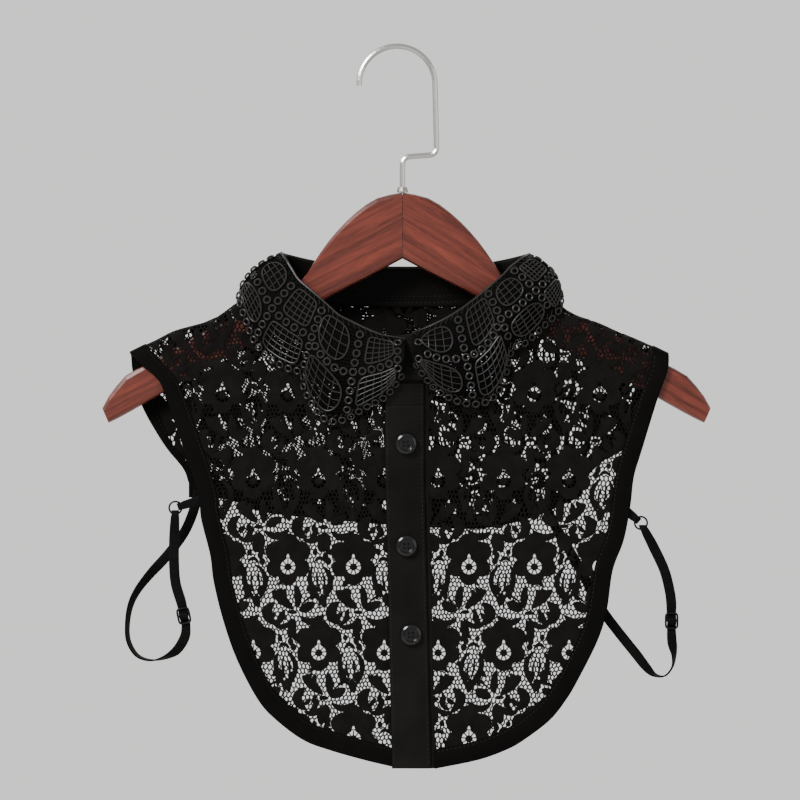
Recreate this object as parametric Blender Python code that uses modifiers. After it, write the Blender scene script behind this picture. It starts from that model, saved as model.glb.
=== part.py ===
"""A black lace false collar, hanging on a wooden hanger, as separate closed solids.

The frame: metres, +Z up, the front of the garment faces -Y. The origin is the
inside top of the hook, where the hanger rests on its rail. Sizes in the tables
are millimetres. The cloth hangs over the hanger's arms, with a front layer at
-Y and a back layer at +Y, so every cloth piece is drawn in the (x, z) plane and
then given its depth by the same two rules: it rolls over the shoulder line, and
it bulges out to meet the standing collar.
"""

import math

import bmesh
import bpy
import numpy as np

MM = 0.001

# How finely the pieces are drawn
FRONT_COLUMNS, FRONT_ROWS = 17, 20
BACK_COLUMNS, BACK_ROWS = 28, 10
STAND_COLUMNS, PLACKET_ROWS = 60, 14
ROLL_STATIONS = [0, 0.5, 1.6, 3.6, 7.2]   # rows over the roll of the shoulder, mm from its top

# Walls and seams, mm
LACE = 1.1
PLAIN = 1.2
BINDING = 2.2
FALL = 1.2
SEAM = 0.3

# How the garment hangs, mm
HANG_DEPTH = 8.5      # from the hanger's middle plane to the cloth, below the shoulder
ROLL = 7.0            # height of the roll over the shoulder line
BULGE_REACH = 55.0    # how fast the bulge under the neck dies away, downwards

# Neck ring, mm: seen from above it is an oval with squarish ends
NECK_X = 5.1
NECK_HALF_WIDTH = 74.5
NECK_FRONT, NECK_BACK = 22.0, 20.0
STAND_HEIGHT = 24.5
STAND_SPREAD = 13.5   # how much wider the stand is at its foot, at each side
STAND_FLARE = 1.2     # and how much deeper
STAND_LAP = 11.0      # each front end passes the middle by this
STAND_STEP = 0.8      # and moves in or out by this, so that the ends lap

# Fold line of the collar at the front, from the middle to the side: x, z
FOLD_LEFT = [
    (16, -182.5), (0.6, -180.7), (-14, -177.4), (-36, -166.5), (-46.2, -157), (-60.1, -144.5), (-69.4, -127.7),
]
FOLD_RIGHT = [
    (-6, -179.5), (13, -176.6), (22.3, -172.7), (34.1, -166.5), (53.9, -151.6), (64.7, -142.1), (79.6, -128.3),
]
FOLD_BACK_DIP = 8.0   # the fold line is this much lower at the middle of the back

# Shoulder line, from the neck to the armhole: x, z
SHOULDER_LEFT = [
    (-83.9, -149.3), (-99.8, -158.7), (-109.1, -165.4), (-115.9, -169.6), (-137.6, -175.7), (-150, -181.6),
    (-162.4, -187.6), (-168, -190.6),
]
SHOULDER_RIGHT = [
    (94.2, -150.0), (101, -159.4), (107.9, -164.3), (113.5, -167.0), (124.6, -170.6), (135.8, -175.6),
    (148.5, -180.9), (159.3, -185.7), (170, -190.9),
]
NECK_RIDGE = -104.0   # where the two shoulder lines would meet above the neck

# Bound edges. Each row: outer x, outer z, inner x, inner z. None is the shoulder line.
FRONT_LEFT_EDGE = [
    (-166, None, -155.5, None),
    (-158.5, -197, -149, -192.5),
    (-150, -204, -141.5, -200),
    (-145.1, -211.7, -135.5, -208),
    (-137, -235.3, -126, -232),
    (-124, -273.1, -113, -271),
    (-121.5, -292.3, -110, -291),
    (-115.9, -314.7, -104.5, -313.5),
    (-113.8, -331, -102, -331),
    (-107.9, -355, -96.4, -352),
    (-99.2, -379.8, -88.7, -374),
    (-86.2, -404.6, -77.7, -396),
    (-75, -417, -68, -407),
    (-58.3, -429.4, -53, -418.6),
    (-42.2, -435.6, -38.7, -424),
    (-20.5, -441.8, -18.5, -430),
    (-3.8, -445.8, -3.8, -434),
]
FRONT_RIGHT_EDGE = [
    (168.6, None, 158.5, None),
    (168, -200, 157.5, -199),
    (161.8, -217.3, 151, -215),
    (151.9, -249.6, 140.7, -247),
    (147, -266, 135.7, -264),
    (144.8, -284, 133, -283.5),
    (140.7, -305.4, 129.4, -303),
    (133.9, -323.9, 122.8, -321),
    (130.2, -348.8, 118.6, -346.5),
    (124.6, -367.4, 113.8, -363),
    (112.2, -392.2, 103, -385),
    (104.8, -404.6, 96.5, -396),
    (94.9, -417, 88, -407),
    (78.7, -429.4, 73.8, -418.6),
    (67.6, -435.6, 63.8, -424),
    (50.2, -441.8, 48.2, -430),
    (24.4, -447.3, 24.4, -435.5),
]
BACK_LEFT_EDGE = [
    (-166, None, -155.5, None),
    (-165.6, -198, -155.4, -198.5),
    (-163.5, -208, -153, -210),
    (-159.3, -222.3, -149.5, -226),
    (-151.3, -237.2, -142.5, -242),
    (-143.2, -249.6, -134, -254.5),
    (-133.5, -261.5, -124, -265),
    (-130, -269.2, -119.5, -269.2),
]
BACK_RIGHT_EDGE = [
    (168.6, None, 158.5, None),
    (164, -206, 154.2, -203),
    (153.5, -228, 144.5, -223.5),
    (140, -248, 132, -241),
    (126, -259, 117, -256.5),
    (115.5, -268.7, 104.5, -273.3),
]
# Lower edge of the back, left to right: x, z. Its tape is BACK_HEM wide.
BACK_HEM_LINE = [
    (-130, -279.4), (-110.4, -280.2), (-100.4, -282.4), (-86.2, -288), (-60.1, -291.7), (-10.5, -296.1),
    (18, -298), (51.5, -299), (80, -293.5), (96, -287.5), (115.5, -278.6),
]
BACK_HEM = 9.5

# Placket, mm: its middle line moves right towards the foot
PLACKET_WIDTH, PLACKET_THICK = 24.2, 1.6
PLACKET_TOP_X, PLACKET_FOOT_X = 4.8, 9.0
PLACKET_TOP, PLACKET_STRAIGHT_TO, PLACKET_FOOT = -208.2, -265.0, -446.9
PLACKET_LAP = 4.0     # the lace passes this far under the upper band
UNDER_LEFT, UNDER_RIGHT, UNDER_THICK = 7.5, 15.0, 1.4

# Buttons: x, z of the middle
BUTTONS = [(5.6, -245.5), (5.9, -308.8), (8.7, -363.9)]
BUTTON_RADIUS, BUTTON_THICK, BUTTON_RIM, BUTTON_DISH = 6.5, 2.8, 1.9, 0.9

# Collar fall, from the middle front to the side. Each row: fold x, fold z, edge x, edge z.
# The row at FALL_NOTCH is the notch between the front lobe and the side lobe.
FALL_LEFT = [
    (2.5, -181.3, 1.9, -205),
    (-3.7, -180.1, -2.5, -213.6),
    (-8.7, -179.2, -8.1, -219.8),
    (-14, -177.4, -21.1, -226.5),
    (-21.7, -173.9, -32.2, -233.1),
    (-29.1, -170.2, -44, -233.7),
    (-36, -166.5, -53.3, -223.5),
    (-41.5, -161.5, -58.3, -213),
    (-44, -159.2, -59.1, -204.6),
    (-49, -154.7, -68.2, -201.5),
    (-54.6, -149.7, -80, -195),
    (-60.1, -144.5, -89.3, -184.5),
    (-63.9, -138, -94.2, -172.5),
    (-67, -132.5, -97.8, -162),
    (-69.4, -127.7, -99.8, -154.6),
]
FALL_RIGHT = [
    (13, -176.6, 12.5, -198),
    (16.5, -175.3, 16.5, -206),
    (22.3, -172.7, 24.8, -215),
    (29, -169.4, 36, -221.4),
    (36.5, -165, 48, -223.8),
    (43, -160.4, 57.7, -221.4),
    (48, -156.5, 64.5, -213.5),
    (52, -153.2, 68.8, -202),
    (54.5, -151.2, 71.9, -189.6),
    (59, -147.2, 80.5, -185.5),
    (64.7, -142.1, 91, -175.8),
    (69, -137.3, 98.5, -169),
    (73, -133.8, 101.8, -164),
    (76.5, -130.9, 103, -159),
    (79.6, -128.3, 103, -154.6),
]
FALL_NOTCH = 8
FALL_BACK_DROP, FALL_BACK_LENGTH, FALL_BACK_LOBE = 27.5, 20.0, 9.0   # at the side, at the back, more at a lobe
FALL_DOWN = [0, 0.04, 0.16, 0.32, 0.5, 0.7, 0.92, 1]     # rows from the fold to the edge
FALL_OFF = 2.5        # how far outside the stand it falls
FALL_BOW = 6.5        # and how far it bows out half way down, at the front and back
FALL_BOW_SIDE = 3.0   # the same at the sides
FALL_COLUMNS = 90
FALL_CLEAR = 1.0      # room over the lace, beyond a seam
FALL_RELIEF, FALL_RIB = 0.5, 0.1   # rows of rings stand proud: height in mm, width as a share of a lobe

# Straps: each ring's middle; the slider's middle and lean in degrees; the tab's foot: x, z
STRAP_WIDE, STRAP_THICK, STRAP_IN_RING, STRAP_IN_SLIDER = 6.2, 1.0, 3.2, 4.8
RING_RADIUS, RING_WIRE, RING_Y = 3.9, 0.6, -5.0
BAND_BEND, BAND_STEP = 18, 14     # a section of the band at each bend of so many degrees and each so many mm
SLIDER_WIDE, SLIDER_TALL, SLIDER_THICK, SLIDER_BAR, SLIDER_Y = 8.6, 10.6, 1.2, 1.3, -5.8
# The elastic's way through the slider: mm down from its middle, mm behind its middle plane
SLIDER_THREADING = [(-6.4, 1.6), (-4.4, 1.7), (-2.6, 0.5), (-1.2, -1.5), (0, -1.8), (1.2, -1.5), (2.6, 0.5), (4.4, 1.7), (6.4, 1.6)]
RINGS = {"left": (-137.6, -285.5), "right": (151.5, -294.9)}
SLIDERS = {"left": (-132.4, -352.5, 12.0), "right": (170.5, -355.6, 0.0)}
TAB_WIDE = 5.6
TAB_FEET = {"left": (-118.6, -279.4), "right": (139.5, -285.0)}
# The doubled stretch between ring and slider: x, z
RUNS = {
    "left": [(-138.4, -303), (-138.6, -318), (-137.6, -332)],
    "right": [(159.5, -310), (166.2, -324.5), (169.6, -338)],
}
# The single loop, from the slider to the back's lower corner: x, y, z and the turn of the
# band's width in degrees, 0 across the front and 90 from front to back
LOOPS = {
    "left": [
        (-131.9, -4.0, -366, 0), (-137.4, -3.0, -374.5, 15), (-146.3, -1.6, -379.4, 45), (-154.4, 0.2, -380.4, 65),
        (-162.1, 2.2, -377.4, 70), (-167.2, 4.0, -369.2, 70), (-168.2, 5.4, -359.3, 70), (-166.5, 6.8, -347.3, 60),
        (-162.1, 7.8, -337.6, 45), (-154.4, 8.6, -327.5, 25), (-146.3, 9.2, -318.7, 0), (-139, 9.3, -310, 0),
        (-132.4, 8.8, -300.3, 0), (-127.8, 7.6, -290, 0), (-125.2, 6.6, -281, 0), (-124, 6.6, -275, 0),
    ],
    "right": [
        (170.9, -4.0, -369, 15), (172.2, -3.2, -377, 60), (171.2, -2, -384.6, 80), (166.5, -0.8, -390.2, 75),
        (160.2, 0.6, -389.6, 50), (155, 1.8, -384.6, 20), (148.6, 3, -376.4, 0), (137.4, 4, -362.4, 0),
        (127.7, 4.4, -349.1, 0), (118.5, 4.6, -332, 0), (106.5, 5.4, -310.5, 0), (98.5, 6.4, -297, 0),
        (94.8, 6.6, -289.5, 0), (92.2, 6.6, -283.5, 0),
    ],
}

# Hanger: one arm's upper and lower edge, from the middle to the tip: x from the middle, z
HANGER_X = 3.4
ARM_TOP = [
    (0, -89.6), (16.4, -93.3), (32.2, -104.5), (46.2, -119.4), (56.7, -134.3), (63, -143.6), (74, -151),
    (95, -161.8), (110, -169.3), (119.3, -172.8), (136, -181.3), (163, -197.2), (173.5, -202.6), (184.5, -215.5),
    (189, -223.5),
]
ARM_FOOT = [(0, -130.5), (20, -141), (47, -155), (95, -183), (148.2, -212.4), (174, -227), (185, -232.6)]
ARM_LENGTHS = {"left": 186.5, "right": 191.5}
ARM_NOMINAL = 189.0
ARM_THICK, ARM_ROUND, ARM_SECTIONS = 12.0, 2.8, 30

# Hook and ferrule, mm
WIRE_RADIUS = 1.7
HOOK_RADIUS = 23.6
HOOK_CORNERS = [(24.7, -65.8), (3.4, -67.4)]
HOOK_BEND = 4.5
HOOK_FOOT = -89.1
FERRULE_RADIUS, FERRULE_HEIGHT, FERRULE_BORE = 3.6, 3.2, 2.05


def curve_through(rows, count):
    """Points spaced evenly by length along a smooth curve (Catmull-Rom) through the rows."""
    rows = np.asarray(rows, float)
    ends = np.vstack([2 * rows[0] - rows[1], rows, 2 * rows[-1] - rows[-2]])
    t = np.linspace(0, 1, 13)[:-1, None]
    pieces = []
    for i in range(len(rows) - 1):
        a, b, c, d = ends[i:i + 4]
        bend, twist = 2 * a - 5 * b + 4 * c - d, 3 * b - a - 3 * c + d
        pieces.append(0.5 * (2 * b + (c - a) * t + bend * t**2 + twist * t**3))
    return evenly(np.vstack([*pieces, rows[-1:]]), count)


def evenly(line, count, first=(0,)):
    """The same line with points spaced evenly by length, after the first few at given lengths."""
    far = np.concatenate([[0], np.cumsum(np.linalg.norm(np.diff(line[:, :3], axis=0), axis=1))])
    want = np.concatenate([first, np.linspace(first[-1], far[-1], count)[1:]])
    return np.column_stack([np.interp(want, far, line[:, k]) for k in range(line.shape[1])])


def rising(rows, count=200):
    """A smooth line through the rows, sorted so that x rises, for np.interp."""
    fine = curve_through(rows, count)
    return fine[np.argsort(fine[:, 0])]


def squarish(value):
    """The other coordinate of a superellipse of power 3, for one coordinate from -1 to 1."""
    return np.cbrt(np.clip(1 - np.abs(value) ** 3, 0, None))


SHOULDER = np.vstack([rising(SHOULDER_LEFT), [[NECK_X, NECK_RIDGE]], rising(SHOULDER_RIGHT)])
FOLDS = {"left": rising(FOLD_LEFT), "right": rising(FOLD_RIGHT)}


def shoulder_z(x):
    """Height of the shoulder line. Across the neck it goes on as a ridge that no cloth reaches."""
    return np.interp(x, SHOULDER[:, 0], SHOULDER[:, 1])


def back_fold_z(share):
    """Height of the fold line behind the neck, share from -1 at the left side to 1 at the right."""
    ends = np.interp(share, (-1, 1), (FOLD_LEFT[-1][1], FOLD_RIGHT[-1][1]))
    return ends - FOLD_BACK_DIP * squarish(share) ** 3


def stand_points(turn, drop, lapped=False):
    """Points of the stand: turn 0 is the middle front, a quarter the right side, a half the back.

    Seen from above the fold is a superellipse. The height is read from the fold tables at the front. drop is
    the distance below the fold along the band, which spreads outwards at the sides. The front ends may lap.
    """
    turn = np.asarray(turn, float)
    sine, cosine = np.sin(2 * math.pi * turn), np.cos(2 * math.pi * turn)
    across, ahead = (np.sign(v) * np.abs(v) ** (2 / 3) for v in (sine, cosine))
    x = NECK_X + NECK_HALF_WIDTH * across
    y = -np.where(ahead > 0, NECK_FRONT, NECK_BACK) * ahead
    fronts = {side: np.interp(x, line[:, 0], line[:, 1]) for side, line in FOLDS.items()}
    z = np.where(ahead > 0, np.where(turn < 0.5, fronts["right"], fronts["left"]), back_fold_z(across))
    spread = STAND_SPREAD / STAND_HEIGHT * across
    x, z = x + spread * drop, z - np.sqrt(1 - spread**2) * drop
    y = y - STAND_FLARE / STAND_HEIGHT * ahead * drop
    if lapped:
        y = y - STAND_STEP * np.clip((np.abs(turn - 0.5) - 0.42) / 0.08, 0, 1) * np.sign(turn - 0.5)
    return np.stack([x, y, z], axis=-1)


def neck_seam(turns):
    """Where the panels begin, just past the stand's foot: x, y, z with x rising."""
    seam = stand_points(turns, STAND_HEIGHT + 4 * SEAM)
    return seam[np.argsort(seam[:, 0])]


# The front seam leaves out the lap, so that it runs smoothly across the middle
FRONT_SEAM = neck_seam(np.concatenate([np.linspace(0.7501, 0.9964, 240), np.linspace(0.011, 0.2499, 240)]))
BACK_SEAM = neck_seam(np.linspace(0.2501, 0.7499, 480))


def roll_depth(x, z):
    """Distance of the cloth from the hanger's middle plane: a squarish quarter round, then straight down."""
    below = np.clip((shoulder_z(x) - z) / ROLL, 0, 1)
    return SEAM + (HANG_DEPTH - SEAM) * squarish(1 - below)


def depth(x, z, side):
    """Depth of the front (side -1) or back (side 1) layer. It bulges to meet the foot of the stand."""
    seam = FRONT_SEAM if side < 0 else BACK_SEAM
    foot = np.interp(x, seam[:, 0], seam[:, 2])
    bulge = np.interp(x, seam[:, 0], np.abs(seam[:, 1]), left=0, right=0) - roll_depth(x, foot)
    fade = np.exp(-np.clip(foot - z, 0, None) / BULGE_REACH)
    inside = (x > seam[0, 0]) & (x < seam[-1, 0])
    return roll_depth(x, z) + np.where(inside, np.clip(bulge, 0, None) * fade, 0)


def hung(flat, side, proud=0.0):
    """Points of the (x, z) plane given their depth in the front or back layer."""
    x, z = flat[..., 0], flat[..., 1]
    return np.stack([x, side * (depth(x, z, side) + proud), z], axis=-1)


def between(outer, inner, count=3):
    """A grid of points from one line to another."""
    share = np.linspace(0, 1, count)[None, :, None]
    return outer[:, None] * (1 - share) + inner[:, None] * share


def edge_lines(rows, count):
    """The outer and inner lines of a bound edge, and the line just inside it where the lace begins."""
    filled = []
    for outer_x, outer_z, inner_x, inner_z in rows:
        if outer_z is None:
            outer_z, inner_z = shoulder_z(outer_x), shoulder_z(inner_x)
        filled.append((outer_x, outer_z, inner_x, inner_z))
    fine = evenly(curve_through(filled, 600), count, ROLL_STATIONS)
    outer, inner = fine[:, :2], fine[:, 2:]
    inwards = (inner - outer) / np.linalg.norm(inner - outer, axis=1, keepdims=True)
    return outer, inner, inner + inwards * SEAM


def lengths(line):
    """How far along a line each point is, from 0 to 1."""
    far = np.concatenate([[0], np.cumsum(np.linalg.norm(np.diff(line, axis=0), axis=1))])
    return far / far[-1]


def patch(top, bottom, left, right):
    """A Coons patch: a grid of points between four boundary lines, columns by rows."""
    u = np.linspace(0, 1, len(top))[:, None, None]
    v = lengths(left)[None, :, None]
    down = top[:, None] * (1 - v) + bottom[:, None] * v
    across = left[None] * (1 - u) + right[None] * u
    corners = (top[0] * (1 - v) + bottom[0] * v) * (1 - u) + (top[-1] * (1 - v) + bottom[-1] * v) * u
    return down + across - corners


def placket_x(z):
    """Middle line of the placket: straight at the top, then slanting to the right."""
    share = np.clip((PLACKET_STRAIGHT_TO - z) / (PLACKET_STRAIGHT_TO - PLACKET_FOOT), 0, 1)
    return PLACKET_TOP_X + (PLACKET_FOOT_X - PLACKET_TOP_X) * share


def over_placket(x):
    """How far the upper band of the placket stands proud of the lace, with slopes at its sides."""
    return (PLACKET_THICK + SEAM) * np.clip((PLACKET_WIDTH / 2 + 6 - np.abs(x - PLACKET_TOP_X)) / 4, 0, 1)


def material(name, colour, roughness, metallic=0.0):
    made = bpy.data.materials.new(name)
    made.use_nodes = True
    shader = made.node_tree.nodes["Principled BSDF"]
    shader.inputs["Base Color"].default_value = (*colour, 1.0)
    shader.inputs["Roughness"].default_value = roughness
    shader.inputs["Metallic"].default_value = metallic
    return made


def finish_object(made, finish, sharp_over=40):
    """Gives an object its material and smooth shading, and puts it in the garment's collection."""
    made.data.materials.append(finish)
    if made.type == "MESH":
        made.data.shade_smooth()
        made.data.set_sharp_from_angle(angle=math.radians(sharp_over))
    for home in list(made.users_collection):
        home.objects.unlink(made)
    bpy.data.collections["lace_collar"].objects.link(made)
    return made


def add_mesh(name, points, faces, finish):
    """A mesh object from points in mm."""
    mesh = bpy.data.meshes.new(name)
    mesh.from_pydata((np.asarray(points, float).reshape(-1, 3) * MM).tolist(), [], faces)
    return finish_object(bpy.data.objects.new(name, mesh), finish)


def grid_faces(columns, rows, start=0):
    """Quads of a grid of points that are numbered column by column."""
    first = [start + i * rows + j for i in range(columns - 1) for j in range(rows - 1)]
    return [(n, n + 1, n + rows + 1, n + rows) for n in first]


def close_faces(made):
    """Turns all faces of a closed mesh outwards."""
    shape = bmesh.new()
    shape.from_mesh(made.data)
    bmesh.ops.recalc_face_normals(shape, faces=shape.faces)
    shape.to_mesh(made.data)
    shape.free()


def cloth(name, grid, thick, finish):
    """An open sheet through a grid of points, which Solidify gives an even wall."""
    made = add_mesh(name, grid, grid_faces(*grid.shape[:2]), finish)
    wall = made.modifiers.new("wall", "SOLIDIFY")
    wall.thickness = thick * MM
    wall.offset = 0.0
    return made


def wall_between(name, outer, inner, finish):
    """A closed wall between two grids of the same size, whose rim is closed with a strip of quads."""
    columns, rows = outer.shape[:2]
    count = columns * rows
    back = [quad[::-1] for quad in grid_faces(columns, rows, count)]
    rim = [(i, 0) for i in range(columns)] + [(columns - 1, j) for j in range(1, rows)]
    rim += [(i, rows - 1) for i in range(columns - 2, -1, -1)] + [(0, j) for j in range(rows - 2, 0, -1)]
    ids = [i * rows + j for i, j in rim]
    strip = [(a, b, b + count, a + count) for a, b in zip(ids, ids[1:] + ids[:1])]
    points = np.concatenate([outer.reshape(-1, 3), inner.reshape(-1, 3)])
    close_faces(add_mesh(name, points, grid_faces(columns, rows) + back + strip, finish))


def grid_normals(grid):
    """Unit normals of a grid of points."""
    normal = np.cross(np.gradient(grid, axis=0), np.gradient(grid, axis=1))
    return normal / np.maximum(np.linalg.norm(normal, axis=-1, keepdims=True), 1e-9)


def make_front(side, lace, tape):
    """One front panel of lace and the tape round its armhole, side and hem."""
    sign = {"left": -1, "right": 1}[side]
    rows = {"left": FRONT_LEFT_EDGE, "right": FRONT_RIGHT_EDGE}[side]
    outer, inner, edge = edge_lines(rows, FRONT_ROWS + FRONT_COLUMNS - 1)
    cloth(f"binding_front_{side}", hung(between(outer, inner), -1), BINDING, tape)

    at_placket = PLACKET_LAP - PLACKET_WIDTH / 2 if side == "left" else UNDER_RIGHT + SEAM
    seam = FRONT_SEAM[(FRONT_SEAM[:, 0] - PLACKET_TOP_X - at_placket) * sign > 0][:, [0, 2]]
    seam = seam[::sign]
    shoulder_x = np.linspace(seam[-1, 0] + sign * SEAM, edge[0, 0], 30)
    shoulder = np.column_stack([shoulder_x, shoulder_z(shoulder_x)])
    top = evenly(np.vstack([seam, shoulder]), FRONT_COLUMNS)[::-1]
    outer_side, hem = edge[:1 - FRONT_COLUMNS], edge[-FRONT_COLUMNS:]
    middle_z = top[-1, 1] + (hem[-1, 1] - top[-1, 1]) * lengths(outer_side)
    middle = np.column_stack([placket_x(middle_z) + at_placket, middle_z])
    top[-1], hem[-1] = middle[0], middle[-1]
    cloth(f"front_{side}", hung(patch(top, hem, outer_side, middle), -1), LACE, lace)


def make_back(lace, tape):
    """The back yoke of lace, the tape round its two armholes and its hem."""
    insides = {}
    for side, rows in (("left", BACK_LEFT_EDGE), ("right", BACK_RIGHT_EDGE)):
        outer, inner, edge = edge_lines(rows, BACK_ROWS)
        cloth(f"binding_back_{side}", hung(between(outer, inner), 1), BINDING, tape)
        insides[side] = edge
    hem = curve_through(BACK_HEM_LINE, BACK_COLUMNS)
    hem_top = hem + [0, BACK_HEM]
    cloth("binding_back_hem", hung(between(hem, hem_top), 1), BINDING, tape)

    seam = BACK_SEAM[:, [0, 2]]
    left_x = np.linspace(insides["left"][0, 0], seam[0, 0] - SEAM, 30)
    right_x = np.linspace(seam[-1, 0] + SEAM, insides["right"][0, 0], 30)
    shoulders = [np.column_stack([x, shoulder_z(x)]) for x in (left_x, right_x)]
    top = evenly(np.vstack([shoulders[0], seam, shoulders[1]]), BACK_COLUMNS)
    bottom_x = np.linspace(insides["left"][-1, 0], insides["right"][-1, 0], BACK_COLUMNS)
    bottom = np.column_stack([bottom_x, np.interp(bottom_x, hem_top[:, 0], hem_top[:, 1]) + SEAM])
    left, right = np.vstack([insides["left"], bottom[:1]]), np.vstack([insides["right"], bottom[-1:]])
    cloth("back", hung(patch(top, bottom, left, right), 1), LACE, lace)


def make_stand(plain):
    """The standing band round the neck. Its two front ends lap."""
    lap = math.asin((STAND_LAP / NECK_HALF_WIDTH) ** 1.5) / (2 * math.pi)
    turns = np.linspace(-lap, 1 + lap, 1500)
    line = stand_points(turns, 0.0)
    far = np.concatenate([[0], np.cumsum(np.linalg.norm(np.diff(line, axis=0), axis=1))])
    turns = np.interp(np.linspace(0, far[-1], STAND_COLUMNS), far, turns)
    rows = [stand_points(turns, drop, lapped=True) for drop in np.linspace(0, STAND_HEIGHT, 3)]
    cloth("collar_stand", np.stack(rows, axis=1), PLAIN, plain)


def fall_rows():
    """All rows of the collar fall from the left front round the back to the right front.

    Each row: fold x, y, z; edge x, z; lobe, counted from the left front.
    """
    rows = []
    for table, start, way in ((FALL_LEFT, 0, 1), (FALL_RIGHT, 8, -1)):
        counts = start + way * np.interp(range(len(table)), (0, FALL_NOTCH, len(table) - 1), (0, 1, 2))
        for (fold_x, fold_z, edge_x, edge_z), count in list(zip(table, counts))[::way]:
            fold_y = -NECK_FRONT * squarish((fold_x - NECK_X) / NECK_HALF_WIDTH)
            rows.append((fold_x, fold_y, fold_z, edge_x, edge_z, count))
    behind = []
    for turn in np.radians(np.linspace(-90, 90, 27)[1:-1]):
        share = np.sign(turn) * abs(math.sin(turn)) ** (2 / 3)
        more = FALL_BACK_LENGTH + FALL_BACK_LOBE * abs(math.sin(2 * math.pi * share)) ** 0.7
        fold_x, fold_z = NECK_X + NECK_HALF_WIDTH * share, back_fold_z(share)
        edge_x = np.interp(share, (-1, 1), (FALL_LEFT[-1][2], FALL_RIGHT[-1][2]))
        edge_x += (fold_x - edge_x) * 0.45 * (1 - share**2)
        edge_z = fold_z - FALL_BACK_DROP - more * (1 - share**4)
        behind.append((fold_x, NECK_BACK * squarish(share), fold_z, edge_x, edge_z, 4 + 2 * share))
    return np.array(rows[:len(FALL_LEFT)] + behind + rows[len(FALL_LEFT):], float)


def make_fall(guipure):
    """The turned-down collar: one scalloped wall from the fold to its lobes, with raised rows of rings."""
    rows = curve_through(fall_rows(), FALL_COLUMNS)
    fold_x, fold_y, fold_z, edge_x, edge_z, lobe = rows.T
    share = (fold_x - NECK_X) / NECK_HALF_WIDTH
    ahead = np.abs(fold_y) / np.where(fold_y < 0, NECK_FRONT, NECK_BACK)
    side = np.clip(fold_y / 8, -1, 1)
    out = np.stack([share * np.abs(share) / NECK_HALF_WIDTH, side * ahead**2 / NECK_BACK, 0 * share], axis=1)
    out /= np.linalg.norm(out, axis=1, keepdims=True)
    clear = LACE / 2 + SEAM + FALL / 2 + FALL_CLEAR
    edge_depth = np.where(side < 0, depth(edge_x, edge_z, -1) + over_placket(edge_x), depth(edge_x, edge_z, 1))
    lap_room = np.where(side < 0, STAND_STEP * np.exp(-((fold_x - NECK_X) / 22) ** 2), 0)
    fold = np.stack([fold_x, fold_y, fold_z + 2 * SEAM], axis=1)
    edge = np.stack([edge_x, side * (edge_depth + clear), edge_z], axis=1)

    down = np.array(FALL_DOWN)[None, :, None]
    bow = (FALL_BOW_SIDE + (FALL_BOW - FALL_BOW_SIDE) * ahead)[:, None, None] * 4 * down * (1 - down)
    off = (FALL_OFF + lap_room)[:, None, None] * np.clip(2 * (1 - down), 0, 1)
    lift = np.array([0, 0, 1.0]) * (1 - ahead)[:, None, None] * FALL_BOW_SIDE * 4 * down * (1 - down)
    middle = fold[:, None] * (1 - down) + edge[:, None] * down + out[:, None] * (bow + off) + lift
    x, y, z = (middle[..., k] for k in range(3))
    over_panel = (np.array(FALL_DOWN) > 0.3)[None] & (x > FRONT_SEAM[0, 0]) & (x < FRONT_SEAM[-1, 0])
    for sign in (-1, 1):
        rest = depth(x, z, sign) + clear + (over_placket(x) if sign < 0 else 0)
        y[:] = np.where((side * sign > 0)[:, None] & over_panel, sign * np.maximum(y * sign, rest), y)
    # The cloth over the shoulder is a superellipse of power 3, so points near it are moved straight out of it
    base = shoulder_z(x) - ROLL
    size = np.cbrt(np.abs(y / HANG_DEPTH) ** 3 + np.clip((z - base) / ROLL, 0.01, None) ** 3)
    grow = np.maximum(1, (1 + clear / HANG_DEPTH) / size)
    y *= grow
    z += np.clip(z - base, 0, None) * (grow - 1)

    normal = grid_normals(middle)
    normal *= np.sign(np.sum(normal * out[:, None], axis=-1, keepdims=True))
    rib = np.exp(-((lobe - np.round(lobe)) / FALL_RIB) ** 2)[:, None]
    row = np.array([value in (0.5, 0.93) for value in FALL_DOWN], float)[None]
    raised = np.maximum(rib, row)[..., None] * FALL_RELIEF
    raised[:, :2] = 0
    wall_between("collar_fall", middle + normal * (FALL / 2 + raised), middle - normal * FALL / 2, guipure)


def make_plackets(plain):
    """The two bands down the front. The upper one lies on the lace, the under one fills in behind it."""
    z = np.linspace(PLACKET_TOP, PLACKET_FOOT, PLACKET_ROWS)
    upper = LACE / 2 + SEAM + PLACKET_THICK / 2
    under = (LACE - UNDER_THICK) / 2
    spans = (
        ("placket_upper", -PLACKET_WIDTH / 2, PLACKET_WIDTH / 2, upper, PLACKET_THICK),
        ("placket_under", -UNDER_LEFT, UNDER_RIGHT, under, UNDER_THICK),
    )
    for name, low, high, proud, thick in spans:
        across = np.linspace(low, high, 3)[:, None]
        flat = np.stack(np.broadcast_arrays(placket_x(z)[None] + across, z[None]), axis=-1)
        cloth(name, hung(flat, -1, proud), thick, plain)


def turned(name, profile, finish, segments):
    """A turned piece: a profile of radius and height in mm, swept about Z with a Screw modifier."""
    mesh = bpy.data.meshes.new(name)
    mesh.from_pydata([(r * MM, 0, h * MM) for r, h in profile], [(i, i + 1) for i in range(len(profile) - 1)], [])
    made = bpy.data.objects.new(name, mesh)
    screw = made.modifiers.new("turn", "SCREW")
    screw.steps = screw.render_steps = segments
    screw.use_merge_vertices = True
    screw.merge_threshold = 0.00001
    screw.use_smooth_shade = True
    return finish_object(made, finish)


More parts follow.
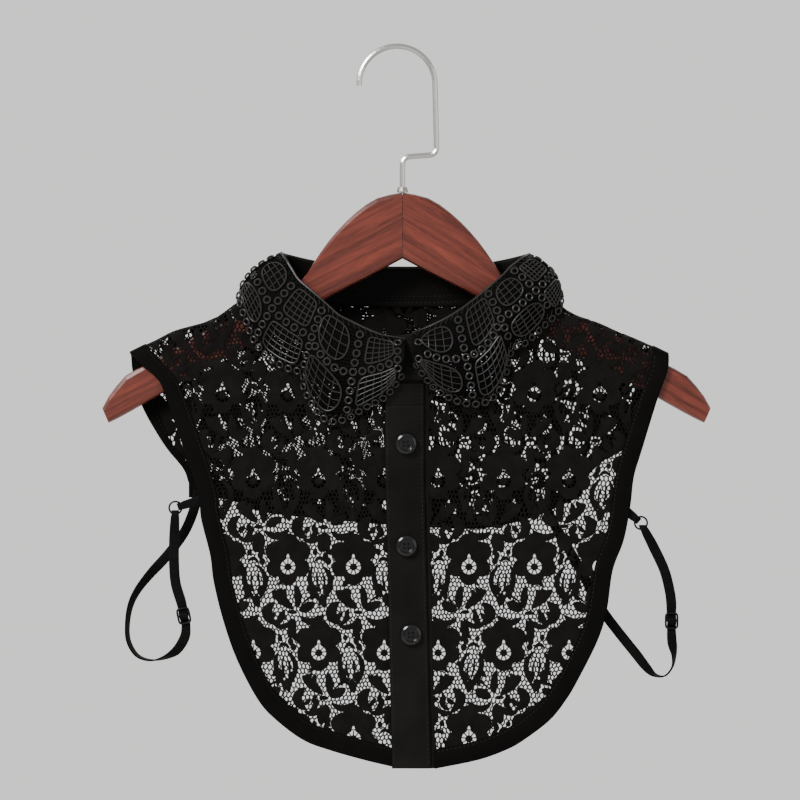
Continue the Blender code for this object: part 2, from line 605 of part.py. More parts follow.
def make_buttons(shell):
    """Three dished buttons with a raised rim, just off the upper band."""
    rim, thick, dish = BUTTON_RADIUS, BUTTON_THICK, BUTTON_THICK - BUTTON_DISH
    profile = [
        (0, dish), (rim - BUTTON_RIM - 0.9, dish), (rim - BUTTON_RIM, thick - 0.15), (rim - 1.0, thick),
        (rim - 0.3, thick - 0.4), (rim, thick - 1.1), (rim - 0.5, 0.5), (rim - 1.8, 0), (0, 0),
    ]
    for number, (x, z) in enumerate(BUTTONS, 1):
        made = turned(f"button_{number}", profile, shell, 20)
        proud = LACE / 2 + PLACKET_THICK + 2 * SEAM
        near = [depth(x, z + step, -1) for step in (-BUTTON_RADIUS, BUTTON_RADIUS)]
        made.location = (x * MM, -(max(near) + proud) * MM, z * MM)
        made.rotation_euler = (math.radians(90), 0, 0)


def loft(name, rings, finish):
    """A closed solid through rings of points, one ring for each section, with a cap at each end."""
    count, size = rings.shape[:2]
    faces = []
    for i in range(count - 1):
        for k in range(size):
            here, after = i * size + k, i * size + (k + 1) % size
            faces.append((here, after, after + size, here + size))
    faces += [tuple(range(size))[::-1], tuple(range((count - 1) * size, count * size))]
    close_faces(add_mesh(name, rings, faces, finish))


def bends(line, along, width, turn):
    """Which rows of a fine route a band needs: one at each bend or turn, and one each BAND_STEP."""
    kept = [0]
    for i in range(1, len(line) - 1):
        last = kept[-1]
        bent = along[i] @ along[last] < math.cos(math.radians(BAND_BEND))
        changed = abs(turn[i] - turn[last]) > math.radians(BAND_BEND) or abs(width[i] - width[last]) > 1
        if bent or changed or np.linalg.norm(line[i] - line[last]) > BAND_STEP:
            kept.append(i)
    return kept + [len(line) - 1]


def band(name, rows, finish, across=None):
    """A flat band along a route: each row x, y, z, width and the turn of its width in degrees.

    Where across is given, the width keeps that direction instead.
    """
    rows = curve_through(rows, 900)
    line, width, turn = rows[:, :3], rows[:, 3:4], np.radians(rows[:, 4:5])
    along = np.gradient(line, axis=0)
    along /= np.linalg.norm(along, axis=1, keepdims=True)
    if across is None:
        across = np.cos(turn) * [1, 0, 0] + np.sin(turn) * [0, 1, 0]
    across = across - along * np.sum(across * along, axis=1, keepdims=True)
    across /= np.linalg.norm(across, axis=1, keepdims=True)
    normal = np.cross(along, across) * STRAP_THICK / 2
    side = across * width / 2
    rings = np.stack([line + side * a + normal * b for a, b in ((-1, -1), (1, -1), (1, 1), (-1, 1))], axis=1)
    loft(name, rings[bends(line, along, width[:, 0], turn[:, 0])], finish)


def round_ring(side, towards):
    """A half turn through the ring and round its wire, on the side that looks towards a point (x, z)."""
    middle = np.array(RINGS[side])
    way = np.array(towards) - middle
    way /= np.linalg.norm(way)
    radius = 2.0
    rows = []
    for angle in np.radians([90, 60, 30, 0, -30, -60, -90]):
        x, z = middle + way * (RING_RADIUS - radius * math.cos(angle))
        rows.append((x, RING_Y + radius * math.sin(angle), z, STRAP_IN_RING, 0))
    return rows


def make_strap(side, elastic):
    """One elastic: its sewn end, up to the ring, through it, down through the slider and round to the back."""
    slider_x, slider_z, lean = SLIDERS[side]
    way = np.array([math.sin(math.radians(lean)), -math.cos(math.radians(lean))])
    run, ring, middle = RUNS[side], np.array(RINGS[side]), np.array([slider_x, slider_z])
    to_run = (run[0] - ring) / np.linalg.norm(run[0] - ring)
    neck = ring + to_run * (RING_RADIUS + 3.5)
    rear = SLIDER_Y + 3.3
    rows = [(*np.insert(middle, 1, rear), STRAP_IN_SLIDER, 0)]
    rows += [(*np.insert(middle - way * 9, 1, rear), STRAP_WIDE, 0)]
    rows += [(x, rear, z, STRAP_WIDE, 0) for x, z in run[::-1]]
    rows += [(neck[0], RING_Y + 1.9, neck[1], STRAP_IN_RING + 0.8, 0)]
    rows += round_ring(side, run[0])
    rows += [(neck[0], RING_Y - 1.9, neck[1], STRAP_IN_RING + 0.8, 0)]
    rows += [(x, SLIDER_Y + 1.2, z, STRAP_WIDE, 0) for x, z in run]
    rows += [(*np.insert(middle - way * 9.5, 1, SLIDER_Y + 1.3), STRAP_WIDE, 0)]
    for far, proud in SLIDER_THREADING:
        rows.append((*np.insert(middle + way * far, 1, SLIDER_Y + proud), STRAP_IN_SLIDER, 0))
    rows += [(x, y, z, STRAP_WIDE, turn) for x, y, z, turn in LOOPS[side]]
    band(f"strap_{side}", rows, elastic)


def make_tab(side, elastic):
    """The short doubled tab from behind the front's tape, round the ring and back."""
    foot, ring = np.array(TAB_FEET[side]), np.array(RINGS[side])
    way = (foot - ring) / np.linalg.norm(foot - ring)
    near = ring + way * (RING_RADIUS + 3.2)
    inside = -HANG_DEPTH + BINDING / 2 + SEAM + STRAP_THICK / 2
    rows = [(foot[0], inside + 1.5, foot[1], TAB_WIDE, 0), (near[0], RING_Y + 1.9, near[1], STRAP_IN_RING + 0.8, 0)]
    rows += round_ring(side, foot)
    rows += [(near[0], RING_Y - 1.7, near[1], STRAP_IN_RING + 0.8, 0), (foot[0], inside, foot[1], TAB_WIDE, 0)]
    band(f"tab_{side}", rows, elastic, across=np.array([[-way[1], 0, way[0]]]))


def make_ring(side, metal):
    """The ring between tab and elastic, in the plane of the front."""
    x, z = RINGS[side]
    bpy.ops.mesh.primitive_torus_add(
        major_radius=RING_RADIUS * MM,
        minor_radius=RING_WIRE * MM,
        major_segments=20,
        minor_segments=6,
        location=(x * MM, RING_Y * MM, z * MM),
        rotation=(math.radians(90), 0, 0),
    )
    made = bpy.context.object
    made.name = f"ring_{side}"
    finish_object(made, metal)


def flat_outline(name, outlines, thick, finish):
    """A flat piece from closed outlines in mm, the first one outside and the others holes in it."""
    curve = bpy.data.curves.new(name, "CURVE")
    curve.dimensions, curve.fill_mode, curve.extrude = "2D", "BOTH", thick / 2 * MM
    for outline in outlines:
        spline = curve.splines.new("POLY")
        spline.points.add(len(outline) - 1)
        for point, (x, y) in zip(spline.points, outline):
            point.co = (x * MM, y * MM, 0, 1)
        spline.use_cyclic_u = True
    return finish_object(bpy.data.objects.new(name, curve), finish)


def make_slider(side, metal):
    """The strap adjuster: a flat frame with a bar across its middle."""
    wide, tall, cut = SLIDER_WIDE / 2, SLIDER_TALL / 2, 1.4
    frame = [
        (wide, cut - tall), (wide, tall - cut), (wide - cut, tall), (cut - wide, tall),
        (-wide, tall - cut), (-wide, cut - tall), (cut - wide, -tall), (wide - cut, -tall),
    ]
    inner, near, far = wide - SLIDER_BAR, SLIDER_BAR / 2, tall - SLIDER_BAR
    heights = ((near, far), (-far, -near))
    windows = [[(-inner, low), (inner, low), (inner, high), (-inner, high)] for low, high in heights]
    made = flat_outline(f"slider_{side}", [frame, *windows], SLIDER_THICK, metal)
    x, z, lean = SLIDERS[side]
    made.location = (x * MM, SLIDER_Y * MM, z * MM)
    made.rotation_euler = (math.radians(90), math.radians(-lean), 0)


def make_arm(side, wood):
    """One wooden arm: a board with rounded edges, lofted from the middle joint to the tip."""
    sign = {"left": -1, "right": 1}[side]
    stretch = np.array([ARM_LENGTHS[side] / ARM_NOMINAL, 1.0])
    top, foot = (curve_through(rows, ARM_SECTIONS) * stretch for rows in (ARM_TOP, ARM_FOOT))
    top[0, 0] = foot[0, 0] = SEAM / 2
    long = np.linalg.norm(foot - top, axis=1, keepdims=True)
    flat, turn = ARM_THICK / 2 - ARM_ROUND, np.radians([90, 45, 0])
    inset, half = ARM_ROUND * (1 - np.sin(turn)), flat + ARM_ROUND * np.cos(turn)
    reach = np.concatenate([half, half[::-1]])
    rings = []
    for here, below, length in zip(top, foot, long[:, 0]):
        along = np.concatenate([inset, length - inset[::-1]])
        place = here + (below - here) / length * np.concatenate([along, along[::-1]])[:, None]
        y = np.concatenate([reach, -reach[::-1]])
        rings.append(np.column_stack([HANGER_X + sign * place[:, 0], y, place[:, 1]]))
    loft(f"arm_{side}", np.array(rings), wood)


def rounded(corner, before, after, radius, steps=6):
    """A round bend at a corner of a wire: points of the arc that touches both straight runs."""
    corner, before, after = (np.array(p, float) for p in (corner, before, after))
    back, on = before - corner, after - corner
    back, on = back / np.linalg.norm(back), on / np.linalg.norm(on)
    half = math.acos(np.clip(back @ on, -1, 1)) / 2
    start, stop = corner + back * radius / math.tan(half), corner + on * radius / math.tan(half)
    middle = corner + (back + on) / np.linalg.norm(back + on) * radius / math.sin(half)
    turn = [start - middle + (stop - start) * t for t in np.linspace(0, 1, steps)]
    return [middle + v / np.linalg.norm(v) * radius for v in turn]


def make_hook(metal):
    """The bent wire: a half circle, a straight drop, a crank to the middle, and the stem."""
    middle = (0, WIRE_RADIUS - HOOK_RADIUS)
    angles = np.radians(np.linspace(182, 0, 26))
    arc = [(middle[0] + HOOK_RADIUS * math.cos(a), middle[1] + HOOK_RADIUS * math.sin(a)) for a in angles]
    foot = (HANGER_X, HOOK_FOOT)
    upper, lower = HOOK_CORNERS
    route = [*arc, *rounded(upper, arc[-1], lower, HOOK_BEND), *rounded(lower, upper, foot, HOOK_BEND), foot]
    curve = bpy.data.curves.new("hook", "CURVE")
    curve.dimensions, curve.bevel_depth, curve.bevel_resolution = "3D", WIRE_RADIUS * MM, 2
    curve.use_fill_caps = True
    spline = curve.splines.new("POLY")
    spline.points.add(len(route) - 1)
    for point, (x, z) in zip(spline.points, route):
        point.co = (x * MM, 0, z * MM, 1)
    finish_object(bpy.data.objects.new("hook", curve), metal)


def make_ferrule(metal):
    """The small domed collar that the hook's stem goes into, on top of the wood."""
    high, wide, bore = FERRULE_HEIGHT, FERRULE_RADIUS, FERRULE_BORE
    profile = [
        (bore, high), (bore + 0.7, high), (wide - 0.4, high * 0.6), (wide, high * 0.2), (wide, 0), (bore, 0),
        (bore, high),
    ]
    made = turned("ferrule", profile, metal, 20)
    made.location = (HANGER_X * MM, 0, (ARM_TOP[0][1] + SEAM) * MM)


def main():
    for old in list(bpy.data.objects):
        bpy.data.objects.remove(old)
    bpy.context.scene.collection.children.link(bpy.data.collections.new("lace_collar"))
    lace = material("black_lace", (0.012, 0.011, 0.012), 0.75)
    guipure = material("cord_lace", (0.014, 0.013, 0.014), 0.7)
    plain = material("plain_cloth", (0.016, 0.015, 0.016), 0.6)
    tape = material("binding_tape", (0.013, 0.012, 0.013), 0.7)
    elastic = material("elastic", (0.012, 0.011, 0.012), 0.65)
    shell = material("button_shell", (0.01, 0.01, 0.011), 0.2)
    make_front("left", lace, tape)
    make_front("right", lace, tape)
    make_back(lace, tape)
    make_stand(plain)
    make_fall(guipure)
    make_plackets(plain)
    make_buttons(shell)
    wood = material("dark_wood", (0.09, 0.022, 0.016), 0.35)
    steel = material("steel_wire", (0.62, 0.6, 0.57), 0.25, 1.0)
    trim = material("strap_trim", (0.012, 0.012, 0.013), 0.25)
    for side in ("left", "right"):
        make_strap(side, elastic)
        make_tab(side, elastic)
        make_ring(side, trim)
        make_slider(side, trim)
        make_arm(side, wood)
    make_hook(steel)
    make_ferrule(steel)


main()
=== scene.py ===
# %% [markdown]
# A black lace false collar (a dickey) on a wooden hanger. The frame comes from the CAD solids, which stay
# as they are. Every soft piece is drawn again here as the real thing is made: net, flowers and leaves of
# thread for the lace, rings and cords for the turned-down collar, folded cloth for bands and tapes.

# %% Load the frame
import math

import bpy
import numpy as np
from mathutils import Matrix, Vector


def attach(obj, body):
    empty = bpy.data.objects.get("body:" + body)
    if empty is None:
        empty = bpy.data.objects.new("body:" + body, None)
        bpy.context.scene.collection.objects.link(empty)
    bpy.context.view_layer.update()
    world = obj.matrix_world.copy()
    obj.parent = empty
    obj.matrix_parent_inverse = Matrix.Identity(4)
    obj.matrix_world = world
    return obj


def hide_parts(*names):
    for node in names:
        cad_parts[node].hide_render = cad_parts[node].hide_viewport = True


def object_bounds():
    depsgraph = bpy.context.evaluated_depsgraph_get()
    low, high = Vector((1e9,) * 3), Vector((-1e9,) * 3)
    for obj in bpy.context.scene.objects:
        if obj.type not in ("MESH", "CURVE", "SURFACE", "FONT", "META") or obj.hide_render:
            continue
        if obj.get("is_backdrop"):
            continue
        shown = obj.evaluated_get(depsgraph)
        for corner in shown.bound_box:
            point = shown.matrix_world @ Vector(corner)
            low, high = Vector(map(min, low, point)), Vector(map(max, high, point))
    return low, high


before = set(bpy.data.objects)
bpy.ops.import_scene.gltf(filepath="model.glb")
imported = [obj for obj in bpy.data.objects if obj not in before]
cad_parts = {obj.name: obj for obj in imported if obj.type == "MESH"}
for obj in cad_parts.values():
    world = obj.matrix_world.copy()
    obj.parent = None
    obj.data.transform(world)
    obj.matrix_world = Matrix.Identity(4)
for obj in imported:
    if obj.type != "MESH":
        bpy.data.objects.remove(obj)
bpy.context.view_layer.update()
MM = 0.001

# %% [markdown]
# The camera stands far back with a long lens, because the photograph shows hardly any perspective. It looks
# straight at the front. The frame is 496 mm wide and high where the garment hangs.

# %% Camera
FRAME_WIDE, CAMERA_FAR, GARMENT_AHEAD, SENSOR = 0.496, 2.4, 0.009, 36.0
VIEW_X, VIEW_Z = 0.00186, -0.21855
camera_data = bpy.data.cameras.new("camera")
camera_data.sensor_width = SENSOR
camera_data.lens = SENSOR * CAMERA_FAR / FRAME_WIDE
camera = bpy.data.objects.new("camera", camera_data)
camera.location = (VIEW_X, -CAMERA_FAR - GARMENT_AHEAD, VIEW_Z)
camera.rotation_euler = (math.radians(90), 0, 0)
bpy.context.scene.collection.objects.link(camera)
bpy.context.scene.camera = camera
print("lens", round(camera_data.lens, 1), "mm")

# %% [markdown]
# The same sizes as the CAD source, in millimetres. Cloth is drawn flat in the (x, z) plane and then hung:
# it rolls over the shoulder line, drops straight, and bulges out where it meets the standing collar.

# %% Sizes of the cut
LACE, PLAIN, BINDING, SEAM = 1.1, 1.2, 2.2, 0.3
HANG_DEPTH, ROLL, BULGE_REACH = 8.5, 7.0, 55.0
NECK_X, NECK_HALF_WIDTH, NECK_FRONT, NECK_BACK = 5.1, 74.5, 22.0, 20.0
STAND_HEIGHT, STAND_SPREAD, STAND_FLARE, STAND_LAP, STAND_STEP = 24.5, 13.5, 1.2, 11.0, 0.8
LAP_TURN, FOLD_BACK_DIP, NECK_RIDGE = 0.08, 8.0, -104.0
# fold line at the front: x, z
FOLD_LEFT = [
    (16, -182.5), (0.6, -180.7), (-14, -177.4), (-36, -166.5), (-46.2, -157), (-60.1, -144.5),
    (-69.4, -127.7),
]
FOLD_RIGHT = [
    (-6, -179.5), (13, -176.6), (22.3, -172.7), (34.1, -166.5), (53.9, -151.6), (64.7, -142.1),
    (79.6, -128.3),
]
# shoulder line: x, z
SHOULDER_LEFT = [
    (-83.9, -149.3), (-99.8, -158.7), (-109.1, -165.4), (-115.9, -169.6), (-137.6, -175.7), (-150, -181.6),
    (-162.4, -187.6), (-168, -190.6),
]
SHOULDER_RIGHT = [
    (94.2, -150.0), (101, -159.4), (107.9, -164.3), (113.5, -167.0), (124.6, -170.6), (135.8, -175.6),
    (148.5, -180.9), (159.3, -185.7), (170, -190.9),
]
# bound edges: outer x, outer z, inner x, inner z; None is the shoulder line
FRONT_EDGES = {
    "left": [
        (-166, None, -155.5, None), (-158.5, -197, -149, -192.5), (-150, -204, -141.5, -200),
        (-145.1, -211.7, -135.5, -208), (-137, -235.3, -126, -232), (-124, -273.1, -113, -271),
        (-121.5, -292.3, -110, -291), (-115.9, -314.7, -104.5, -313.5), (-113.8, -331, -102, -331),
        (-107.9, -355, -96.4, -352), (-99.2, -379.8, -88.7, -374), (-86.2, -404.6, -77.7, -396),
        (-75, -417, -68, -407), (-58.3, -429.4, -53, -418.6), (-42.2, -435.6, -38.7, -424),
        (-20.5, -441.8, -18.5, -430), (-2.8, -446.0, -2.8, -434.2),
    ],
    "right": [
        (168.6, None, 158.5, None), (168, -200, 157.5, -199), (161.8, -217.3, 151, -215),
        (151.9, -249.6, 140.7, -247), (147, -266, 135.7, -264), (144.8, -284, 133, -283.5),
        (140.7, -305.4, 129.4, -303), (133.9, -323.9, 122.8, -321), (130.2, -348.8, 118.6, -346.5),
        (124.6, -367.4, 113.8, -363), (112.2, -392.2, 103, -385), (104.8, -404.6, 96.5, -396),
        (94.9, -417, 88, -407), (78.7, -429.4, 73.8, -418.6), (67.6, -435.6, 63.8, -424),
        (50.2, -441.8, 48.2, -430), (23.4, -447.3, 23.4, -435.5),
    ],
}
BACK_EDGES = {
    "left": [
        (-166, None, -155.5, None), (-165.6, -198, -155.4, -198.5), (-163.5, -208, -153, -210),
        (-159.3, -222.3, -149.5, -226), (-151.3, -237.2, -142.5, -242), (-143.2, -249.6, -134, -254.5),
        (-133.5, -261.5, -124, -265), (-130, -270.8, -119.5, -270.8),
    ],
    "right": [
        (168.6, None, 158.5, None), (164, -206, 154.2, -203), (153.5, -228, 144.5, -223.5),
        (140, -248, 132, -241), (126, -259, 117, -256.5), (115.2, -270.2, 104.2, -274.8),
    ],
}
# lower edge of the back: x, z
BACK_HEM_LINE = [
    (-130, -279.4), (-110.4, -280.2), (-100.4, -282.4), (-86.2, -288), (-60.1, -291.7), (-10.5, -296.1),
    (18, -298), (51.5, -299), (80, -293.5), (96, -287.5), (115.5, -278.6),
]
BACK_HEM = 9.5
PLACKET_WIDTH, PLACKET_THICK, PLACKET_LAP = 24.2, 1.6, 4.0
PLACKET_TOP_X, PLACKET_FOOT_X = 4.8, 9.0
PLACKET_TOP, PLACKET_STRAIGHT_TO, PLACKET_FOOT = -208.2, -265.0, -446.9
UNDER_LEFT, UNDER_RIGHT, UNDER_THICK = 7.5, 15.0, 1.4
ROLL_STATIONS = [0, 0.5, 1.6, 3.6, 7.2]
print("tables:", len(FRONT_EDGES["left"]), "and", len(FRONT_EDGES["right"]), "rows of front edge")

# %% [markdown]
# Lines through a few measured points. A Catmull-Rom curve goes through every point and bends softly between
# them, and points at even lengths along it keep stitches and strands evenly spaced.

# %% Lines
def curve_through(rows, count):
    """Points spaced evenly by length along a Catmull-Rom curve through the rows."""
    rows = np.asarray(rows, float)
    ends = np.vstack([2 * rows[0] - rows[1], rows, 2 * rows[-1] - rows[-2]])
    t = np.linspace(0, 1, 13)[:-1, None]
    pieces = []
    for i in range(len(rows) - 1):
        a, b, c, d = ends[i:i + 4]
        bend, twist = 2 * a - 5 * b + 4 * c - d, 3 * b - a - 3 * c + d
        pieces.append(0.5 * (2 * b + (c - a) * t + bend * t**2 + twist * t**3))
    return evenly(np.vstack([*pieces, rows[-1:]]), count)


def far_along(line):
    """Length from the start to each point of a line, over its first three columns."""
    return np.concatenate([[0], np.cumsum(np.linalg.norm(np.diff(line[:, :3], axis=0), axis=1))])


def evenly(line, count, first=(0,)):
    """The same line with points spaced evenly by length, after the first few at given lengths."""
    far = far_along(line)
    want = np.concatenate([first, np.linspace(first[-1], far[-1], count)[1:]])
    return np.column_stack([np.interp(want, far, line[:, k]) for k in range(line.shape[1])])


def unit(vectors):
    """The same vectors with length 1."""
    return vectors / np.maximum(np.linalg.norm(vectors, axis=-1, keepdims=True), 1e-9)


def facing(at, u, v, step_u, step_v):
    """Unit normals of a surface at(u, v), by differences of a step either way."""
    return unit(np.cross(at(u + step_u, v) - at(u - step_u, v), at(u, v + step_v) - at(u, v - step_v)))


def powered(value, power):
    """The size of a value to a power, with its sign: cos and sin to a power below 1 make a squarish loop."""
    return np.sign(value) * np.abs(value) ** power


def squarish(value):
    """The cube root of 1 - |value| cubed: the other coordinate of a superellipse of power 3."""
    return np.cbrt(np.clip(1 - np.abs(value) ** 3, 0, None))


def rising(rows):
    """A smooth line through the rows, sorted so that x rises, for np.interp."""
    fine = curve_through(rows, 200)
    return fine[np.argsort(fine[:, 0])]


# %% [markdown]
# The standing collar is a band round an oval with squarish ends. The panels start at its foot, so the same
# function gives the neck seam of the front and of the back.

# %% Neck and hang
SHOULDER = np.vstack([rising(SHOULDER_LEFT), [[NECK_X, NECK_RIDGE]], rising(SHOULDER_RIGHT)])
FOLDS = {"left": rising(FOLD_LEFT), "right": rising(FOLD_RIGHT)}


def shoulder_z(x):
    """Height of the shoulder line at x."""
    return np.interp(x, SHOULDER[:, 0], SHOULDER[:, 1])


def back_fold_z(share):
    """Height of the fold behind the neck: level at the sides and lowest in the middle."""
    ends = np.interp(share, (-1, 1), (FOLD_LEFT[-1][1], FOLD_RIGHT[-1][1]))
    return ends - FOLD_BACK_DIP * squarish(share) ** 3


def stand_points(turn, drop, lapped=False):
    """Points of the stand: turn goes once round from the middle front, drop is the way below the fold."""
    turn = np.asarray(turn, float)
    across, ahead = (powered(wave(2 * math.pi * turn), 2 / 3) for wave in (np.sin, np.cos))
    x = NECK_X + NECK_HALF_WIDTH * across
    y = -np.where(ahead > 0, NECK_FRONT, NECK_BACK) * ahead
    fronts = {side: np.interp(x, line[:, 0], line[:, 1]) for side, line in FOLDS.items()}
    z = np.where(ahead > 0, np.where(turn < 0.5, fronts["right"], fronts["left"]), back_fold_z(across))
    spread = STAND_SPREAD / STAND_HEIGHT * across
    x, z = x + spread * drop, z - np.sqrt(1 - spread**2) * drop
    y = y - STAND_FLARE / STAND_HEIGHT * ahead * drop
    if lapped:
        past = np.clip((np.abs(turn - 0.5) - 0.5 + LAP_TURN) / LAP_TURN, 0, 1)
        y = y - STAND_STEP * past * np.sign(turn - 0.5)
    return np.stack([x, y, z], axis=-1)


def neck_seam(turns):
    """Where the panels begin, just past the stand's foot, with x rising."""
    seam = stand_points(turns, STAND_HEIGHT + 4 * SEAM)
    return seam[np.argsort(seam[:, 0])]


SEAMS = {
    -1: neck_seam(np.concatenate([np.linspace(0.7501, 0.9964, 240), np.linspace(0.011, 0.2499, 240)])),
    1: neck_seam(np.linspace(0.2501, 0.7499, 480)),
}


def rolled(x, z):
    """Distance from the hanger's middle plane of cloth that rolls over the shoulder and drops."""
    return SEAM + (HANG_DEPTH - SEAM) * squarish(1 - np.clip((shoulder_z(x) - z) / ROLL, 0, 1))


def depth(x, z, side):
    """Distance of the front (side -1) or back (side 1) layer from the hanger's middle plane."""
    seam = SEAMS[side]
    foot = np.interp(x, seam[:, 0], seam[:, 2])
    bulge = np.interp(x, seam[:, 0], np.abs(seam[:, 1]), left=0, right=0) - rolled(x, foot)
    fade = np.exp(-np.clip(foot - z, 0, None) / BULGE_REACH)
    inside = (x > seam[0, 0]) & (x < seam[-1, 0])
    return rolled(x, z) + np.where(inside, np.clip(bulge, 0, None) * fade, 0)


print("neck seam from x", round(SEAMS[-1][0, 0], 1), "to", round(SEAMS[-1][-1, 0], 1), "mm")

# %% [markdown]
# Net that rolls over a shoulder keeps its cells, so the pattern can't be laid out by height alone. The flat
# pattern has a coordinate that measures along the cloth: below the roll it is the height itself, and over
# the roll it goes on by the length of the curve.

# %% From flat pattern to hung cloth
roll_turn = np.linspace(0, math.pi / 2, 200)
ROLL_OUT = SEAM + (HANG_DEPTH - SEAM) * np.sin(roll_turn) ** (2 / 3)
ROLL_BELOW = ROLL * (1 - np.cos(roll_turn) ** (2 / 3))
ROLL_LENGTH = np.concatenate([[0], np.cumsum(np.hypot(np.diff(ROLL_OUT), np.diff(ROLL_BELOW)))])
ROLL_EXTRA = ROLL_LENGTH[-1] - ROLL


def flat_z(x, z):
    """The flat coordinate of a height: the way down along the cloth, measured from the shoulder line."""
    below = shoulder_z(x) - z
    along = np.where(below < ROLL, np.interp(below, ROLL_BELOW, ROLL_LENGTH), below + ROLL_EXTRA)
    return shoulder_z(x) + ROLL_EXTRA - along


def hang(x, flat, side):
    """Points of the hung cloth for flat coordinates: the height is read back from the length of the roll."""
    along = shoulder_z(x) + ROLL_EXTRA - flat
    below = np.where(along < ROLL_LENGTH[-1], np.interp(along, ROLL_LENGTH, ROLL_BELOW), along - ROLL_EXTRA)
    z = shoulder_z(x) - below
    y = depth(x, z, side)
    on_roll = (along < ROLL_LENGTH[-1]) & ((x < SEAMS[side][0, 0]) | (x > SEAMS[side][-1, 0]))
    y = np.where(on_roll, np.interp(along, ROLL_LENGTH, ROLL_OUT), y)
    return np.stack([x, side * y, z], axis=-1)


def on_panel(side):
    """A surface: flat x and z to hung points and outward unit normals, by differences of 0.3 mm."""
    def surface(x, flat):
        return hang(x, flat, side), facing(lambda a, b: hang(a, b, side), x, flat, 0.3, 0.3) * -side
    return surface


print("the roll adds", round(float(ROLL_EXTRA), 2), "mm of cloth over each shoulder")

# %% [markdown]
# Three ways to make a mesh serve every piece. Cords and leaves are cross sections carried along many lines
# at once. Bands are one cross section carried along one line. Flowers are a cross section carried round a
# centre. All faces are made from whole arrays of numbers.

# %% Mesh makers
def facing_out(points, faces):
    """Whether triangles face out: the sum of a . (b x c), six times the volume inside, isn't negative."""
    a, b, c = (points[faces[:, k]] for k in range(3))
    return np.einsum("ij,ij->i", a, np.cross(b, c)).sum() >= 0


def fan(ring, flip):
    """Triangles that close each ring of point numbers, from its first point."""
    first = np.repeat(ring[:, :1], ring.shape[1] - 2, axis=1)
    faces = np.stack([first, ring[:, 1:-1], ring[:, 2:]], axis=-1).reshape(-1, 3)
    return faces[:, ::-1] if flip else faces


def carried(rings, closed=False):
    """A skin over rings (lines, stations, points round, 3). Open lines get a cap at each end."""
    lines, stations, around = rings.shape[:3]
    ids = np.arange(lines * stations * around).reshape(lines, stations, around)
    here, there = (ids, np.roll(ids, -1, axis=1)) if closed else (ids[:, :-1], ids[:, 1:])
    quads = np.stack([here, there, np.roll(there, -1, axis=2), np.roll(here, -1, axis=2)], axis=-1)
    quads = quads.reshape(-1, 4)
    points = rings.reshape(-1, 3)
    caps = np.zeros((0, 3), int)
    if not closed:
        caps = np.concatenate([fan(ids[:, 0], False), fan(ids[:, -1], True)])
    centre = points.mean(axis=0)
    if not facing_out(points - centre, np.concatenate([quads[:, :3], quads[:, [0, 2, 3]], caps])):
        quads, caps = quads[:, ::-1], caps[:, ::-1]
    return points, quads, caps


def cords(lines, normals, wide, thick, around=6, closed=False):
    """Cords along many lines: an ellipse, wide in the cloth and thick along its normal, is carried along."""
    if closed:
        along = np.roll(lines, -1, axis=1) - np.roll(lines, 1, axis=1)
    else:
        along = np.gradient(lines, axis=1)
    across = unit(np.cross(along, normals))
    wide, thick = (np.broadcast_to(v, lines.shape[:2])[..., None, None] for v in (wide, thick))
    turn = 2 * math.pi * (np.arange(around) + 0.25) / around
    sine, cosine = np.sin(turn)[:, None], np.cos(turn)[:, None]
    rings = lines[:, :, None] + across[:, :, None] * cosine * wide + normals[:, :, None] * sine * thick
    return carried(rings, closed)


def joined(blocks):
    """One mesh from several blocks of points, quads and triangles."""
    points, quads, caps = zip(*blocks)
    starts = np.cumsum([0] + [len(block) for block in points[:-1]])

    def renumbered(faces):
        return np.concatenate([block + start for block, start in zip(faces, starts)])
    return np.concatenate(points), renumbered(quads), renumbered(caps)


def new_piece(name, block, finish, nodes=(), uv=None):
    """A piece from a block in mm, smooth shaded, riding on the one body, standing for CAD nodes."""
    points, quads, caps = block
    corners = np.concatenate([quads.ravel(), caps.ravel()]).astype(np.int32)
    sizes = np.concatenate([np.full(len(quads), 4), np.full(len(caps), 3)])
    mesh = bpy.data.meshes.new(name)
    mesh.vertices.add(len(points))
    mesh.vertices.foreach_set("co", (points * MM).astype(np.float32).ravel())
    mesh.loops.add(len(corners))
    mesh.loops.foreach_set("vertex_index", corners)
    mesh.polygons.add(len(sizes))
    mesh.polygons.foreach_set("loop_start", np.concatenate([[0], np.cumsum(sizes)[:-1]]).astype(np.int32))
    mesh.polygons.foreach_set("use_smooth", np.ones(len(sizes), bool))
    if uv is not None:
        layer = mesh.uv_layers.new(name="along")
        layer.data.foreach_set("uv", uv[corners].astype(np.float32).ravel())
    mesh.update(calc_edges=True)
    mesh.set_sharp_from_angle(angle=math.radians(55))
    piece = bpy.data.objects.new(name, mesh)
    bpy.context.scene.collection.objects.link(piece)
    mesh.materials.append(finish)
    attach(piece, "root")
    if nodes:
        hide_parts(*nodes)
    print(f"{name}: {len(quads) * 2 + len(caps)} triangles")
    return piece


# %% [markdown]
# Three effects are shared by several finishes, so each is a node group: the fine relief of thread, a weave
# of crossing threads, and wood grain. A group only gives out colours, masks and heights. The shader stays
# in each material.

# %% Node group helpers
def new_group(name, inputs, outputs):
    """An empty shader node group with named sockets."""
    group = bpy.data.node_groups.new(name, "ShaderNodeTree")
    for label, kind, value in inputs:
        socket = group.interface.new_socket(label, in_out="INPUT", socket_type=kind)
        if value is not None:
            socket.default_value = value
    for label, kind in outputs:
        group.interface.new_socket(label, in_out="OUTPUT", socket_type=kind)
    return group, group.nodes.new("NodeGroupInput"), group.nodes.new("NodeGroupOutput")


